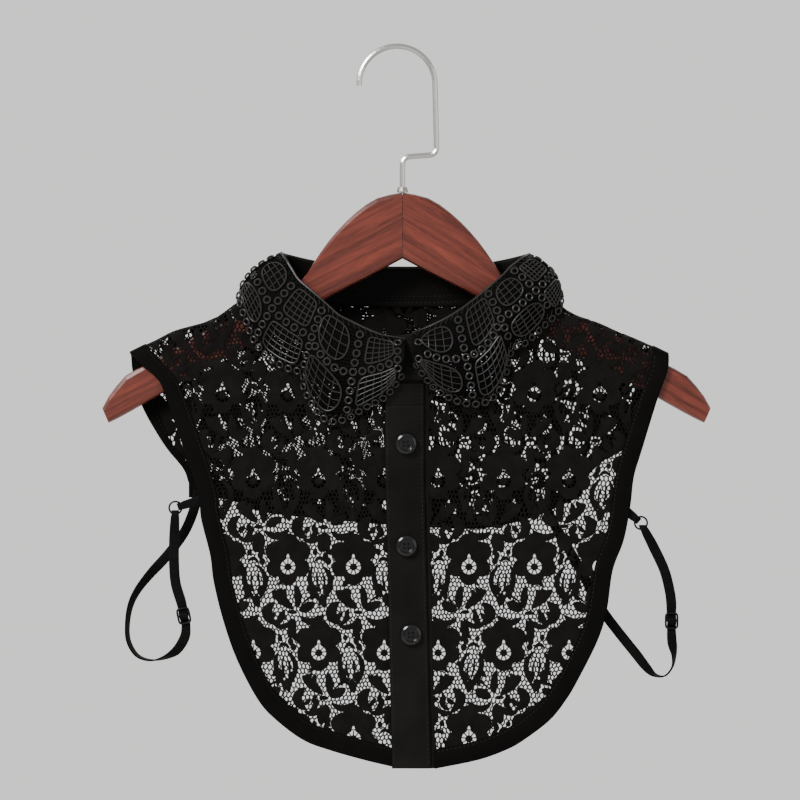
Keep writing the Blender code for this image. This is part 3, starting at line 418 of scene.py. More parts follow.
def node(tree, kind, links=(), **values):
    """A node with its settings, its unlinked values and its links from other sockets."""
    made = tree.nodes.new(kind)
    for key, value in values.items():
        if hasattr(made, key):
            setattr(made, key, value)
        else:
            made.inputs[key.replace("_", " ")].default_value = value
    for key, source in links:
        tree.links.new(source, made.inputs[key])
    return made


# %% Thread and weave groups
def cloth_group(name, threads, wear, detail):
    """A group with a broad mask. Gives the group, its mask, links for fine textures and its height socket."""
    group, gin, gout = new_group(
        name,
        [("Vector", "NodeSocketVector", None), ("Threads", "NodeSocketFloat", threads),
         ("Wear", "NodeSocketFloat", wear)],
        [("Mask", "NodeSocketFloat"), ("Height", "NodeSocketFloat")],
    )
    place = ("Vector", gin.outputs["Vector"])
    broad = node(group, "ShaderNodeTexNoise", [place, ("Scale", gin.outputs["Wear"])], Detail=detail)
    group.links.new(broad.outputs["Fac"], gout.inputs["Mask"])
    return group, broad.outputs["Fac"], [place, ("Scale", gin.outputs["Threads"])], gout.inputs["Height"]


thread_group, _, at_threads, height = cloth_group("thread", 2500.0, 60.0, 3.0)
fine = node(thread_group, "ShaderNodeTexNoise", at_threads, Detail=1.0)
thread_group.links.new(fine.outputs["Fac"], height)

weave_group, mask, at_threads, height = cloth_group("weave", 900.0, 40.0, 4.0)
warp = node(weave_group, "ShaderNodeTexWave", at_threads, bands_direction="X", Distortion=0.6)
weft = node(weave_group, "ShaderNodeTexWave", at_threads, bands_direction="Z", Distortion=0.6)
over = node(weave_group, "ShaderNodeMath", [(0, warp.outputs["Fac"]), (1, weft.outputs["Fac"])],
            operation="MAXIMUM")
both = node(weave_group, "ShaderNodeMath", [(0, mask), (2, over.outputs[0])], operation="MULTIPLY_ADD")
both.inputs[1].default_value = 2.0
weave_group.links.new(both.outputs[0], height)
print("groups:", [g.name for g in bpy.data.node_groups])


# %% Finish helpers
def new_finish(name, gloss):
    """A new Principled material, its node tree, its shader with its gloss, and its coordinates."""
    made = bpy.data.materials.new(name)
    made.use_nodes = True
    shader = made.node_tree.nodes["Principled BSDF"]
    shader.inputs["Specular IOR Level"].default_value = gloss
    return made, made.node_tree, shader, node(made.node_tree, "ShaderNodeTexCoord")


def grouped(tree, group, vector, **values):
    """The outputs of a node group that is fed with a vector and its values."""
    part = tree.nodes.new("ShaderNodeGroup")
    part.node_tree = group
    tree.links.new(vector, part.inputs["Vector"])
    for key, value in values.items():
        part.inputs[key].default_value = value
    return part.outputs


def rough_between(tree, shader, mask, rough):
    """Roughness that goes from the first value to the second as a mask goes from 0 to 1."""
    spread = node(tree, "ShaderNodeMapRange", [("Value", mask)], To_Min=rough[0], To_Max=rough[1])
    tree.links.new(spread.outputs["Result"], shader.inputs["Roughness"])


def bumped(tree, shader, height, strength, deep):
    """A bump from a height."""
    raised = node(tree, "ShaderNodeBump", [("Height", height)], Strength=strength, Distance=deep)
    tree.links.new(raised.outputs["Normal"], shader.inputs["Normal"])


# %% [markdown]
# All cloth here is black, but not one black: the thick cords catch the light, the net and tapes hardly do,
# and the woven bands lie between. Very low base colours with different gloss and roughness do that. Fine
# threads shade each other, so their gloss is set lower than that of a solid.

# %% Cloth finishes
def cloth_finish(name, group, dark, light, rough, gloss, threads, wear, bump, coords="Object"):
    """A Principled cloth whose colour and roughness vary with a broad mask and whose bump is its threads."""
    made, tree, shader, place = new_finish(name, gloss)
    part = grouped(tree, group, place.outputs[coords], Threads=threads, Wear=wear)
    tone = node(tree, "ShaderNodeMix", [("Factor", part["Mask"])], data_type="RGBA")
    tone.inputs["A"].default_value, tone.inputs["B"].default_value = (*dark, 1), (*light, 1)
    tree.links.new(tone.outputs["Result"], shader.inputs["Base Color"])
    rough_between(tree, shader, part["Mask"], rough)
    bumped(tree, shader, part["Height"], bump, 0.0002)
    return made


lace_thread = cloth_finish("lace_thread", weave_group, (0.0012, 0.001, 0.0009), (0.0092, 0.0078, 0.007),
                           (0.42, 0.6), 0.05, 800.0, 120.0, 1.0)
cord_thread = cloth_finish("cord_thread", thread_group, (0.003, 0.0027, 0.0025), (0.012, 0.0108, 0.0098),
                           (0.3, 0.45), 0.26, 2200.0, 70.0, 0.5)
plain_weave = cloth_finish("plain_weave", weave_group, (0.0008, 0.0007, 0.0006), (0.0082, 0.0072, 0.0066),
                           (0.4, 0.6), 0.045, 520.0, 35.0, 0.45)
# This finish also dresses the fall's close ground, where its darker, duller tone is painted shade.
tape_weave_and_painted_shade = cloth_finish("tape_weave_and_painted_shade", weave_group, (0.0012, 0.0011, 0.001), (0.0035, 0.0031, 0.0029),
                          (0.5, 0.7), 0.02, 620.0, 60.0, 0.4)
stitch_thread = cloth_finish("stitch_thread", thread_group, (0.003, 0.0027, 0.0026), (0.008, 0.0072, 0.007),
                             (0.35, 0.5), 0.1, 3000.0, 90.0, 0.3)
print("cloth finishes:", [m.name for m in (lace_thread, cord_thread, plain_weave, tape_weave_and_painted_shade, stitch_thread)])

# %% [markdown]
# Lace is cut to the panel's outline. The flat outline runs one millimetre into the tapes, which hide its
# edge, as the folded tape does on the real one. Points outside are brought back to the nearest point of it.

# %% Outlines
def edge_lines(rows, count):
    """Outer and inner line of a bound edge, with more points over the roll of the shoulder."""
    filled = []
    for outer_x, outer_z, inner_x, inner_z in rows:
        if outer_z is None:
            outer_z, inner_z = shoulder_z(outer_x), shoulder_z(inner_x)
        filled.append((outer_x, outer_z, inner_x, inner_z))
    fine_line = evenly(curve_through(filled, 600), count, ROLL_STATIONS)
    return fine_line[:, :2], fine_line[:, 2:]


def placket_x(z):
    """Middle line of the placket: straight at the top, then slanting to the right."""
    share = np.clip((PLACKET_STRAIGHT_TO - z) / (PLACKET_STRAIGHT_TO - PLACKET_FOOT), 0, 1)
    return PLACKET_TOP_X + (PLACKET_FOOT_X - PLACKET_TOP_X) * share


def to_flat(line):
    """A line of x and height as x and flat coordinate."""
    return np.column_stack([line[:, 0], flat_z(line[:, 0], line[:, 1])])


def tuck(rows, count):
    """The inner line of a bound edge, moved a millimetre into the tape."""
    outer, inner = edge_lines(rows, count)
    return to_flat(inner + unit(outer - inner))


def front_outline(side):
    """The flat outline of a front: side and hem, placket, neck seam, shoulder."""
    sign = {"left": -1, "right": 1}[side]
    edge = tuck(FRONT_EDGES[side], 60)
    at_placket = PLACKET_LAP - PLACKET_WIDTH / 2 if side == "left" else UNDER_RIGHT - 0.6
    z = np.linspace(edge[-1, 1], PLACKET_TOP + 3, 30)
    middle = np.column_stack([placket_x(z) + at_placket, z])
    seam = SEAMS[-1][(SEAMS[-1][:, 0] - PLACKET_TOP_X - at_placket) * sign > 0][::8][:, [0, 2]][::sign]
    x = np.linspace(seam[-1, 0] + sign, edge[0, 0], 20)
    shoulder = np.column_stack([x, shoulder_z(x) + ROLL_EXTRA])
    return np.vstack([edge, middle, seam + [0, 0.6], shoulder])


def back_outline():
    """The flat outline of the back: hem, right armhole, shoulder, neck seam, shoulder, left armhole."""
    left, right = tuck(BACK_EDGES["left"], 24), tuck(BACK_EDGES["right"], 24)
    hem = curve_through(BACK_HEM_LINE, 60) + [0, BACK_HEM - 1]
    hem = hem[(hem[:, 0] > left[-1, 0]) & (hem[:, 0] < right[-1, 0])]
    seam = SEAMS[1][::8][:, [0, 2]]
    tops = [np.linspace(a, b, 20) for a, b in ((right[0, 0], seam[-1, 0] + 1), (seam[0, 0] - 1, left[0, 0]))]
    shoulders = [np.column_stack([x, shoulder_z(x) + ROLL_EXTRA]) for x in tops]
    return np.vstack([left, hem, right[::-1], shoulders[0], (seam + [0, 0.6])[::-1], shoulders[1]])


def inside(points, outline):
    """Which flat points are inside an outline: those with an odd number of its edges on their right."""
    x, z = points[..., 0, None], points[..., 1, None]
    (x0, z0), (x1, z1) = outline.T, np.roll(outline, -1, axis=0).T
    crosses = (z0 > z) != (z1 > z)
    where = x0 + (z - z0) * (x1 - x0) / np.where(z1 == z0, 1e-9, z1 - z0)
    return (crosses & (x < where)).sum(axis=-1) % 2 == 1


def kept_in(points, outline):
    """Flat points, those outside an outline moved to the nearest point of it."""
    moved = points.reshape(-1, 2).copy()
    out = np.flatnonzero(~inside(moved, outline))
    start, way = outline, np.roll(outline, -1, axis=0) - outline
    long = np.maximum((way**2).sum(axis=1), 1e-9)
    offset = moved[out][:, None] - start
    share = np.clip((offset * way).sum(axis=-1) / long, 0, 1)
    near = start + share[..., None] * way
    best = ((moved[out][:, None] - near) ** 2).sum(axis=-1).argmin(axis=1)
    moved[out] = near[np.arange(len(out)), best]
    return moved.reshape(points.shape)


OUTLINES = {"left": front_outline("left"), "right": front_outline("right"), "back": back_outline()}

# %% [markdown]
# The ground of the lace is a net with long six-sided cells, 2.4 mm wide and 3.9 mm high. Each cell owns
# three of its six sides, so three strands for each cell make the whole net. Slow waves shift the knots a
# little, because real net never hangs quite square.

# %% Net
# cell width, rise from row to row, length of an upright side, radius of a strand
NET_WIDE, NET_RISE, NET_SIDE, STRAND = 2.4, 2.75, 1.6, 0.5


def waver(points):
    """Flat points shifted by up to a millimetre in slow waves."""
    x, z = points[..., 0], points[..., 1]
    shift_x = 0.55 * np.sin(0.21 * x + 0.17 * z) + 0.3 * np.sin(0.71 * z - 0.12 * x)
    shift_z = 0.5 * np.sin(0.23 * x - 0.3 * z) + 0.25 * np.sin(0.83 * x + 0.1 * z)
    return points + np.stack([shift_x, shift_z], axis=-1)


def net_strands(outline):
    """Strands of the net as pairs of flat points: an upright side and two slanting sides for each cell."""
    low, high = outline.min(axis=0) - 4, outline.max(axis=0) + 4
    rows = np.arange(int((high[1] - low[1]) / NET_RISE) + 1)
    columns = np.arange(int((high[0] - low[0]) / NET_WIDE) + 1)
    j, i = np.meshgrid(rows, columns, indexing="ij")
    centre = np.stack([low[0] + (i + 0.5 * (j % 2)) * NET_WIDE, low[1] + j * NET_RISE], axis=-1)
    half, up, top = NET_WIDE / 2, NET_SIDE / 2, NET_RISE - NET_SIDE / 2
    sides = np.array([[[half, -up], [half, up]], [[half, up], [0, top]], [[-half, up], [0, top]]])
    strands = waver((centre.reshape(-1, 1, 1, 2) + sides).reshape(-1, 2, 2))
    return strands[inside(strands.mean(axis=1), outline)]


# %% [markdown]
# On the net lie dense motifs: flowers whose petals stand round a ring of small holes, sprigs of round and
# sickle-shaped leaves, open leaves filled with net, and dots. They are ordinary lace motifs, laid out in a
# brick repeat. A leaf is a flat cord whose width swells and shrinks along a bent line.

# %% Motifs
REPEAT_WIDE, REPEAT_HIGH = 40.6, 53.3
SPRIG = (6.0, -29.0)
# leaves: start x, z; middle x, z; end x, z; half width. The sprig's are from its own middle, the others
# from the middle of the flower's ring of holes.
SPRIG_LEAVES = [
    (0.3, 3, 0.4, 10, -0.8, 17.5, 2.3), (-3.5, 3, -10.5, 9.5, -16.5, 14.5, 2.9),
    (-14.5, 7, -19.5, 0, -13.5, -7, 3.2), (-15, -7, -8.5, -8, -2, -3, 1.8), (1, 2, 6, 4.2, 11, 7, 2.9),
    (1.5, 5, 11, 11, 13.5, 1.5, 0.9), (1.5, -2, 9, -5.6, 16.5, -1, 2.1),
    (-1.5, -3.5, -4, -10, -4.2, -15.5, 2.5),
    (-6, 0.5, -3, 0.8, 0, 0.2, 1.3), (8, -9, 12.5, -9.6, 16, -7, 1.9), (-8, 3.2, -9.5, -0.5, -7.5, -3.5, 1.5),
    (5.5, 14, 9, 16.5, 13, 13.5, 1.8), (-12.5, 17, -8, 20.5, -4.5, 17.5, 1.6),
]
OTHER_LEAVES = [
    (15.2, 0.5, 13.8, -10, 21, -22, 1.6), (21, 1, 26.6, -9, 21.5, -22, 1.6),
    (18.4, -3, 18.2, -10, 20.8, -18, 0.7), (20.6, -3, 22.6, -10, 21.4, -18, 0.7),
    (20.6, -16, 21.2, -20.5, 22.2, -25, 2.1), (15.5, 3, 19, 5.5, 22.5, 2.5, 1.2),
    (14.8, 9, 16.4, 9.2, 18, 9.6, 1.9), (22.8, 3.4, 24.8, 3.6, 26.8, 4, 2.3),
    (-19, 6.2, -17.2, 6.6, -15.4, 6.8, 2.4), (21.5, 9.5, 24.5, 15, 23.6, 21.5, 2.1),
    (-14.2, 7, -16.6, 13, -14.8, 19.5, 1.9), (-15.2, -7, -13.6, -7, -12, -7.4, 1.9),
    (13, 17, 17, 21, 16.5, 25.5, 1.9), (9.5, 21.5, 12, 23, 13.6, 25.6, 1.5),
    (-10, -14.5, -6.2, -15.5, -4.4, -12.6, 1.7), (13, -13, 15, -16.5, 14, -20.5, 1.6),
    (-1.6, -14, -2.8, -17, -1.2, -20.5, 1.6), (-15, -11.5, -17.2, -15, -15, -18.5, 1.8),
]
SHIFTED_SPRIG = [(*(np.array(row[:6]) + SPRIG * 3), row[6]) for row in SPRIG_LEAVES]
LEAVES = np.array(OTHER_LEAVES + SHIFTED_SPRIG, float)
LEAF_THICK, LEAF_STATIONS, LEAF_SHIFT = 0.45, 9, 0.35
# petals as discs: middle x, z; radius
PETALS = np.array([
    (0.4, 14.2, 6.6), (-7.9, 9.4, 6.2), (8.1, 9.8, 6.1), (-8.0, -0.8, 5.4), (8.0, -0.6, 5.5),
    (0.0, -5.4, 6.0),
])
PETAL_TURNS, NET_UNDER_PETAL = 84, 1.0
HOLE_COUNT, HOLES_IN, HOLES_OUT, KEYHOLE = 9, 2.3, 4.5, 3.6
BAR_WIDE, BAR_THICK = 0.42, 0.35
# the round middle of a flower, as a short broad cord: way along it, half width
HUB = np.array([(-HOLES_IN, 0.7), (-1.2, 2.0), (0, 2.4), (1.2, 2.0), (HOLES_IN, 0.7)])
# cross section of the petals: way out from the holes to the edge, and height
PETAL_SECTION = np.array([
    (0, -0.2), (0, 0.34), (0.1, 0.46), (0.4, 0.34), (0.78, 0.4), (0.93, 0.56), (1.0, 0.34), (1.0, -0.2),
])
# one flower of each panel: x, z, and which way its motifs look
ORIGINS = {"left": (-67.6, -322.0, 1), "right": (44.6, -322.0, -1), "back": (-8.0, -182.0, 1)}


def repeat_places(panel):
    """Middle of each flower of a panel's brick repeat, and the signs that mirror its motifs."""
    x0, z0, way = ORIGINS[panel]
    j, i = np.meshgrid(np.arange(-6, 7), np.arange(-9, 10), indexing="ij")
    x = x0 + way * (i + 0.47 * (j % 2)) * REPEAT_WIDE
    centres = np.stack([x, z0 + j * REPEAT_HIGH], axis=-1).reshape(-1, 2)
    outline = OUTLINES[panel]
    low, high = outline.min(axis=0) - 45, outline.max(axis=0) + 45
    return centres[((centres > low) & (centres < high)).all(axis=1)], np.array([way, 1.0])


def motif_leaves(centres, mirror, rng):
    """Bent middle lines and widths of all leaves of a panel: quadratic Bezier curves with a swelling width."""
    count = len(centres)
    bent = LEAVES[:, :6].reshape(-1, 3, 2) * mirror
    jitter = rng.normal(0, LEAF_SHIFT, (count, len(LEAVES), 1, 2))
    a, b, c = np.moveaxis(bent + centres[:, None, None] + jitter, 2, 0)
    control = 2 * b - (a + c) / 2
    t = np.linspace(0, 1, LEAF_STATIONS)[:, None]
    lines = (1 - t) ** 2 * a[:, :, None] + 2 * t * (1 - t) * control[:, :, None] + t**2 * c[:, :, None]
    swell = 0.16 + 0.84 * np.sin(math.pi * t[:, 0]) ** 0.65
    wide = LEAVES[None, :, 6, None] * swell * rng.uniform(1.0, 1.2, (count, len(LEAVES), 1))
    return lines.reshape(-1, LEAF_STATIONS, 2), wide.reshape(-1, LEAF_STATIONS)


def not_under(strands, lines, wide):
    """Which strands no leaf covers: their middle is further from every station than 0.8 of its half width."""
    x, z = lines.reshape(-1, 2).T
    reach = (0.8 * wide.reshape(-1)) ** 2
    free = []
    for part in np.array_split(strands.mean(axis=1), 40):
        free.append(((part[:, :1] - x) ** 2 + (part[:, 1:] - z) ** 2 > reach).all(axis=1))
    return np.concatenate(free)


def petal_reach(turn):
    """How far the petals reach from the ring in each direction, and how near two of them are to equal.

    A ray from the middle leaves a disc at c.d + sqrt(R^2 - (c x d)^2), and the furthest disc is the edge.
    """
    way = np.stack([np.cos(turn), np.sin(turn)], axis=-1)[:, None]
    x, z, radius = PETALS.T
    ahead = way[..., 0] * x + way[..., 1] * z
    aside = way[..., 0] * z - way[..., 1] * x
    reach = np.sort(ahead + np.sqrt(np.clip(radius**2 - aside**2, 0, None)), axis=1)
    return reach[:, -1], reach[:, -1] - reach[:, -2]


def flower_rings(centres, mirror):
    """Petals: the section carried round each ring of holes, out to the furthest petal's edge."""
    turn = np.linspace(0, 2 * math.pi, PETAL_TURNS, endpoint=False)
    edge, apart = petal_reach(turn)
    start = HOLES_OUT + KEYHOLE * np.exp(-((turn - math.pi / 2) / 0.17) ** 2)
    out, high = PETAL_SECTION[:, 0], PETAL_SECTION[:, 1]
    radius = start[:, None] + (edge - start)[:, None] * out
    groove = 1 - 0.75 * np.exp(-((apart / 1.1) ** 2))[:, None] * (high > 0)
    flat = np.stack([np.cos(turn)[:, None] * radius, np.sin(turn)[:, None] * radius], axis=-1) * mirror
    return centres[:, None, None] + flat, np.broadcast_to(high * groove, (len(centres), len(turn), len(high)))


# %% [markdown]
# Each panel is one piece: net, leaves, flowers and the bars of their centres, hung on the same surface.

# %% Make the lace panels
def lace_panel(panel, side):
    """All thread of one panel as one block."""
    outline, surface = OUTLINES[panel], on_panel(side)
    rng = np.random.default_rng({"left": 3, "right": 5, "back": 8}[panel])
    centres, mirror = repeat_places(panel)

    def hung(flat):
        """Points and normals of flat points, which are first brought inside the outline."""
        return surface(*np.moveaxis(kept_in(flat, outline), -1, 0))

    strands = net_strands(outline)
    offset = (strands.mean(axis=1)[:, None] - centres) * mirror
    ray = np.linspace(-math.pi, math.pi, 181)
    edge = np.interp(np.arctan2(offset[..., 1], offset[..., 0]), ray, petal_reach(ray)[0])
    strands = strands[(np.linalg.norm(offset, axis=-1) > edge - NET_UNDER_PETAL).all(axis=1)]
    lines, wide = motif_leaves(centres, mirror, rng)
    kept = inside(lines, outline).any(axis=1)
    lines, wide = lines[kept], wide[kept]
    strands = strands[not_under(strands, lines, wide)]

    flat, high = flower_rings(centres, mirror)
    kept = inside(flat, outline).any(axis=(1, 2))
    petals, normals = hung(flat[kept])

    turn = (np.arange(HOLE_COUNT) + 0.25) * 2 * math.pi / HOLE_COUNT
    way = np.stack([np.cos(turn), np.sin(turn)], axis=-1)
    bars = way[:, None] * np.array([HOLES_IN - 0.4, HOLES_OUT + 0.3])[:, None]
    bars = np.concatenate([bars, [[[-1.4, HOLES_OUT + 1], [1.4, HOLES_OUT + 1]]]])
    whole = centres[inside(centres, outline)][:, None]
    return joined([
        cords(*hung(strands), STRAND, STRAND, 3),
        cords(*hung(lines), wide, LEAF_THICK),
        carried(petals + normals * high[kept][..., None], closed=True),
        cords(*hung((whole[:, None] + bars).reshape(-1, 2, 2)), BAR_WIDE, BAR_THICK, 4),
        cords(*hung(whole + HUB * [1, 0]), HUB[:, 1], LEAF_THICK),
    ])


for panel, side, solid in (("left", -1, "front_left"), ("right", -1, "front_right"), ("back", 1, "back")):
    new_piece(f"lace_{solid}", lace_panel(panel, side), lace_thread, [solid])

# %% [markdown]
# The turned-down collar is chemical lace: thick cord, with rings along its scalloped edge. Its surface comes
# from the same table as the solid: a fold line, an edge line, and a bow between them.

# %% Fall tables
# fold x, fold z, edge x, edge z, from the middle front to the side
FALL_LEFT = [
    (4.6, -181.6, 3.4, -205), (-3.7, -180.1, -2.5, -213.6), (-8.7, -179.2, -8.1, -219.8),
    (-14, -177.4, -21.1, -226.5), (-21.7, -173.9, -32.2, -233.1), (-29.1, -170.2, -44, -233.7),
    (-36, -166.5, -53.3, -223.5), (-41.5, -161.5, -58.3, -213), (-44, -159.2, -59.1, -204.6),
    (-49, -154.7, -68.2, -201.5), (-54.6, -149.7, -80, -195), (-60.1, -144.5, -89.3, -184.5),
    (-63.9, -138, -94.2, -172.5), (-67, -132.5, -97.8, -162), (-69.4, -127.7, -99.8, -154.6),
]
FALL_RIGHT = [
    (9.4, -178.0, 11.2, -198), (16.5, -175.3, 16.5, -206), (22.3, -172.7, 24.8, -215),
    (29, -169.4, 36, -221.4), (36.5, -165, 48, -223.8), (43, -160.4, 57.7, -221.4),
    (48, -156.5, 64.5, -213.5), (52, -153.2, 68.8, -202), (54.5, -151.2, 71.9, -189.6),
    (59, -147.2, 80.5, -185.5), (64.7, -142.1, 91, -175.8), (69, -137.3, 98.5, -169),
    (73, -133.8, 101.8, -164), (76.5, -130.9, 103, -159), (79.6, -128.3, 103, -154.6),
]
FALL, FALL_NOTCH, FALL_CLEAR = 1.2, 8, 1.0
FALL_BACK_DROP, FALL_BACK_LENGTH, FALL_BACK_LOBE = 27.5, 20.0, 9.0
FALL_OFF, FALL_BOW, FALL_BOW_SIDE, FALL_COLUMNS, FALL_ROWS = 2.5, 6.5, 3.0, 361, 33


def fall_rows():
    """Rows of the fall from the left front round the back: fold x, y, z; edge x, z; lobe number."""
    rows = []
    for table, start, way in ((FALL_LEFT, 0, 1), (FALL_RIGHT, 8, -1)):
        counts = start + way * np.interp(range(len(table)), (0, FALL_NOTCH, len(table) - 1), (0, 1, 2))
        for (fold_x, fold_z, edge_x, edge_z), count in list(zip(table, counts))[::way]:
            fold_y = -NECK_FRONT * squarish((fold_x - NECK_X) / NECK_HALF_WIDTH)
            rows.append((fold_x, fold_y, fold_z, edge_x, edge_z, count))
    behind = []
    for turn in np.radians(np.linspace(-90, 90, 27)[1:-1]):
        share = powered(math.sin(turn), 2 / 3)
        more = FALL_BACK_LENGTH + FALL_BACK_LOBE * abs(math.sin(2 * math.pi * share)) ** 0.7
        fold_x, fold_z = NECK_X + NECK_HALF_WIDTH * share, back_fold_z(share)
        edge_x = np.interp(share, (-1, 1), (FALL_LEFT[-1][2], FALL_RIGHT[-1][2]))
        edge_x += (fold_x - edge_x) * 0.45 * (1 - share**2)
        edge_z = fold_z - FALL_BACK_DROP - more * (1 - share**4)
        behind.append((fold_x, NECK_BACK * squarish(share), fold_z, edge_x, edge_z, 4 + 2 * share))
    return np.array(rows[:len(FALL_LEFT)] + behind + rows[len(FALL_LEFT):], float)


def over_placket(x):
    """How far the placket stands proud of the lace, with slopes at its sides."""
    return (PLACKET_THICK + SEAM) * np.clip((PLACKET_WIDTH / 2 + 6 - np.abs(x - PLACKET_TOP_X)) / 4, 0, 1)


# %% Fall surface
def fall_surface():
    """A grid of the fall's middle surface, its normals and its lobe numbers: fold to edge along straight
    lines, bowed out half way down, and kept clear of the panels and of the roll over the shoulder."""
    rows = curve_through(fall_rows(), FALL_COLUMNS)
    fold_x, fold_y, fold_z, edge_x, edge_z, lobe = rows.T
    share = (fold_x - NECK_X) / NECK_HALF_WIDTH
    ahead = np.abs(fold_y) / np.where(fold_y < 0, NECK_FRONT, NECK_BACK)
    side = np.clip(fold_y / 8, -1, 1)
    out = np.stack([share * np.abs(share) / NECK_HALF_WIDTH, side * ahead**2 / NECK_BACK, 0 * share], axis=1)
    out = unit(out)
    clear = LACE / 2 + SEAM + FALL / 2 + FALL_CLEAR
    front_depth = depth(edge_x, edge_z, -1) + over_placket(edge_x)
    edge_depth = np.where(side < 0, front_depth, depth(edge_x, edge_z, 1))
    lap_room = np.where(side < 0, STAND_STEP * np.exp(-((fold_x - NECK_X) / 22) ** 2), 0)
    fold = np.stack([fold_x, fold_y, fold_z + 2 * SEAM], axis=1)
    edge = np.stack([edge_x, side * (edge_depth + clear), edge_z], axis=1)
    down = np.linspace(0, 1, FALL_ROWS)[None, :, None]
    bow = (FALL_BOW_SIDE + (FALL_BOW - FALL_BOW_SIDE) * ahead)[:, None, None] * 4 * down * (1 - down)
    off = (FALL_OFF + lap_room)[:, None, None] * np.clip(2 * (1 - down), 0, 1)
    lift = np.array([0, 0, 1.0]) * (1 - ahead)[:, None, None] * FALL_BOW_SIDE * 4 * down * (1 - down)
    middle = fold[:, None] * (1 - down) + edge[:, None] * down + out[:, None] * (bow + off) + lift
    x, y, z = (middle[..., k] for k in range(3))
    over_panel = (down[..., 0] > 0.3) & (x > SEAMS[-1][0, 0]) & (x < SEAMS[-1][-1, 0])
    for sign in (-1, 1):
        rest = depth(x, z, sign) + clear + (over_placket(x) if sign < 0 else 0)
        y[:] = np.where((side * sign > 0)[:, None] & over_panel, sign * np.maximum(y * sign, rest), y)
    base = shoulder_z(x) - ROLL
    size = np.cbrt(np.abs(y / HANG_DEPTH) ** 3 + np.clip((z - base) / ROLL, 0.01, None) ** 3)
    grow = np.maximum(1, (1 + clear / HANG_DEPTH) / size)
    y *= grow
    z += np.clip(z - base, 0, None) * (grow - 1)
    normals = unit(np.cross(np.gradient(middle, axis=0), np.gradient(middle, axis=1)))
    return middle, normals * np.sign(np.sum(normals * out[:, None], axis=-1, keepdims=True)), lobe


FALL_GRID, FALL_NORMALS, FALL_LOBES = fall_surface()
FALL_DROP = np.linalg.norm(np.diff(FALL_GRID, axis=1), axis=-1).sum(axis=1)


def on_fall(u, v):
    """A surface: shares along the fold and down to the edge, to points and normals, by straight mixing."""
    i = np.clip(u, 0, 1) * (FALL_GRID.shape[0] - 1)
    j = np.clip(v, 0, 1) * (FALL_GRID.shape[1] - 1)
    i0, j0 = (np.clip(k.astype(int), 0, n - 2) for k, n in zip((i, j), FALL_GRID.shape))
    a, b = (i - i0)[..., None], (j - j0)[..., None]
    mixed = []
    for grid in (FALL_GRID, FALL_NORMALS):
        near = grid[i0, j0] * (1 - b) + grid[i0, j0 + 1] * b
        mixed.append(near * (1 - a) + (grid[i0 + 1, j0] * (1 - b) + grid[i0 + 1, j0 + 1] * b) * a)
    return mixed[0], unit(mixed[1])


def from_fold(u, gap):
    """The share down the fall that is so many mm below its fold."""
    return gap / np.interp(u, np.linspace(0, 1, len(FALL_DROP)), FALL_DROP)


def from_edge(u, gap):
    """The share down the fall that is so many mm above its edge."""
    return 1 - from_fold(u, gap)


def lobe_u(lobe):
    """The share along the fold where a lobe number is reached."""
    return np.interp(lobe, FALL_LOBES, np.linspace(0, 1, len(FALL_LOBES)))


print("the fall drops", round(FALL_DROP.min(), 1), "to", round(FALL_DROP.max(), 1), "mm")

# %% [markdown]
# Rings go at even spacing along lines of the fall: its edge, a middle row, and columns across each lobe.
# Tiles of square netting lie between them, each bounded by a thick cord. Zigzag bars join rings and tiles.
# Behind them lies a close ground of flat ribbons and thin uprights. It stands for the small loops and
# picots that fill the real one, and its darker, duller finish is painted shade that keeps the gaps dark.

# %% Rings and cords of the fall
RING_WIDE, RING_CORD, RING_PROUD, RING_POINTS = 2.05, 0.6, 0.35, 12
# spacing along the edge, along the middle row and down the columns
RING_PITCH, ROW_PITCH, COLUMN_PITCH = 5.9, 6.0, 6.1
# from a ring's middle to the fold or the edge, and from a column's last ring to the edge
RING_GAP, COLUMN_GAP = 2.9, 7.4


def spaced_u(level, low, high, pitch):
    """Shares along the fold at even real spacing on the line v = level(u)."""
    u = np.linspace(low, high, 1500)
    points, _ = on_fall(u, level(u))
    far = far_along(points)
    count = max(2, int(round(far[-1] / pitch)) + 1)
    return np.interp(np.linspace(0, far[-1], count), far, u)


def rings_at(u, v):
    """Rings lying on the fall: a circle in the plane that touches it, with a round cord."""
    points, normals = on_fall(u, v)
    right = unit(on_fall(u + 0.002, v)[0] - on_fall(u - 0.002, v)[0])
    down = unit(np.cross(normals, right))
    turn = np.linspace(0, 2 * math.pi, RING_POINTS, endpoint=False)[None, :, None]
    lines = points[:, None] + normals[:, None] * RING_PROUD
    lines = lines + RING_WIDE * (np.cos(turn) * right[:, None] + np.sin(turn) * down[:, None])
    normals = np.repeat(normals[:, None], RING_POINTS, axis=1)
    return cords(lines, normals, RING_CORD, RING_CORD, 5, closed=True)


def cords_on_fall(shares, radius, proud, around=5, closed=False):
    """Round cords along lines of shares (lines, stations, 2) on the fall."""
    points, normals = on_fall(shares[..., 0], shares[..., 1])
    return cords(points + normals * proud, normals, radius, radius, around, closed)


# %% Tiles of the fall
RING_ROW, TILE_POWER = 0.47, {"square": 0.35, "leaf": 0.85}
# across the lobe from and to, upper or lower, shape, upright lines, level lines
TILES = [
    (0.10, 0.42, "upper", "square", 4, 4), (0.58, 0.90, "upper", "leaf", 3, 3),
    (0.09, 0.44, "lower", "square", 5, 4), (0.56, 0.92, "lower", "leaf", 4, 4),
]


def tile_point(tile, across, below):
    """Shares on the fall for shares across and down a tile of a lobe."""
    low, high, zone = tile
    u = lobe_u(low + (high - low) * across)
    if zone == "upper":
        top, foot = from_fold(u, 3.4), RING_ROW - from_fold(u, 4.1)
    else:
        top, foot = RING_ROW + from_fold(u, 4.1), from_edge(u, 7.0)
    return np.stack([u, top + (foot - top) * below], axis=-1)


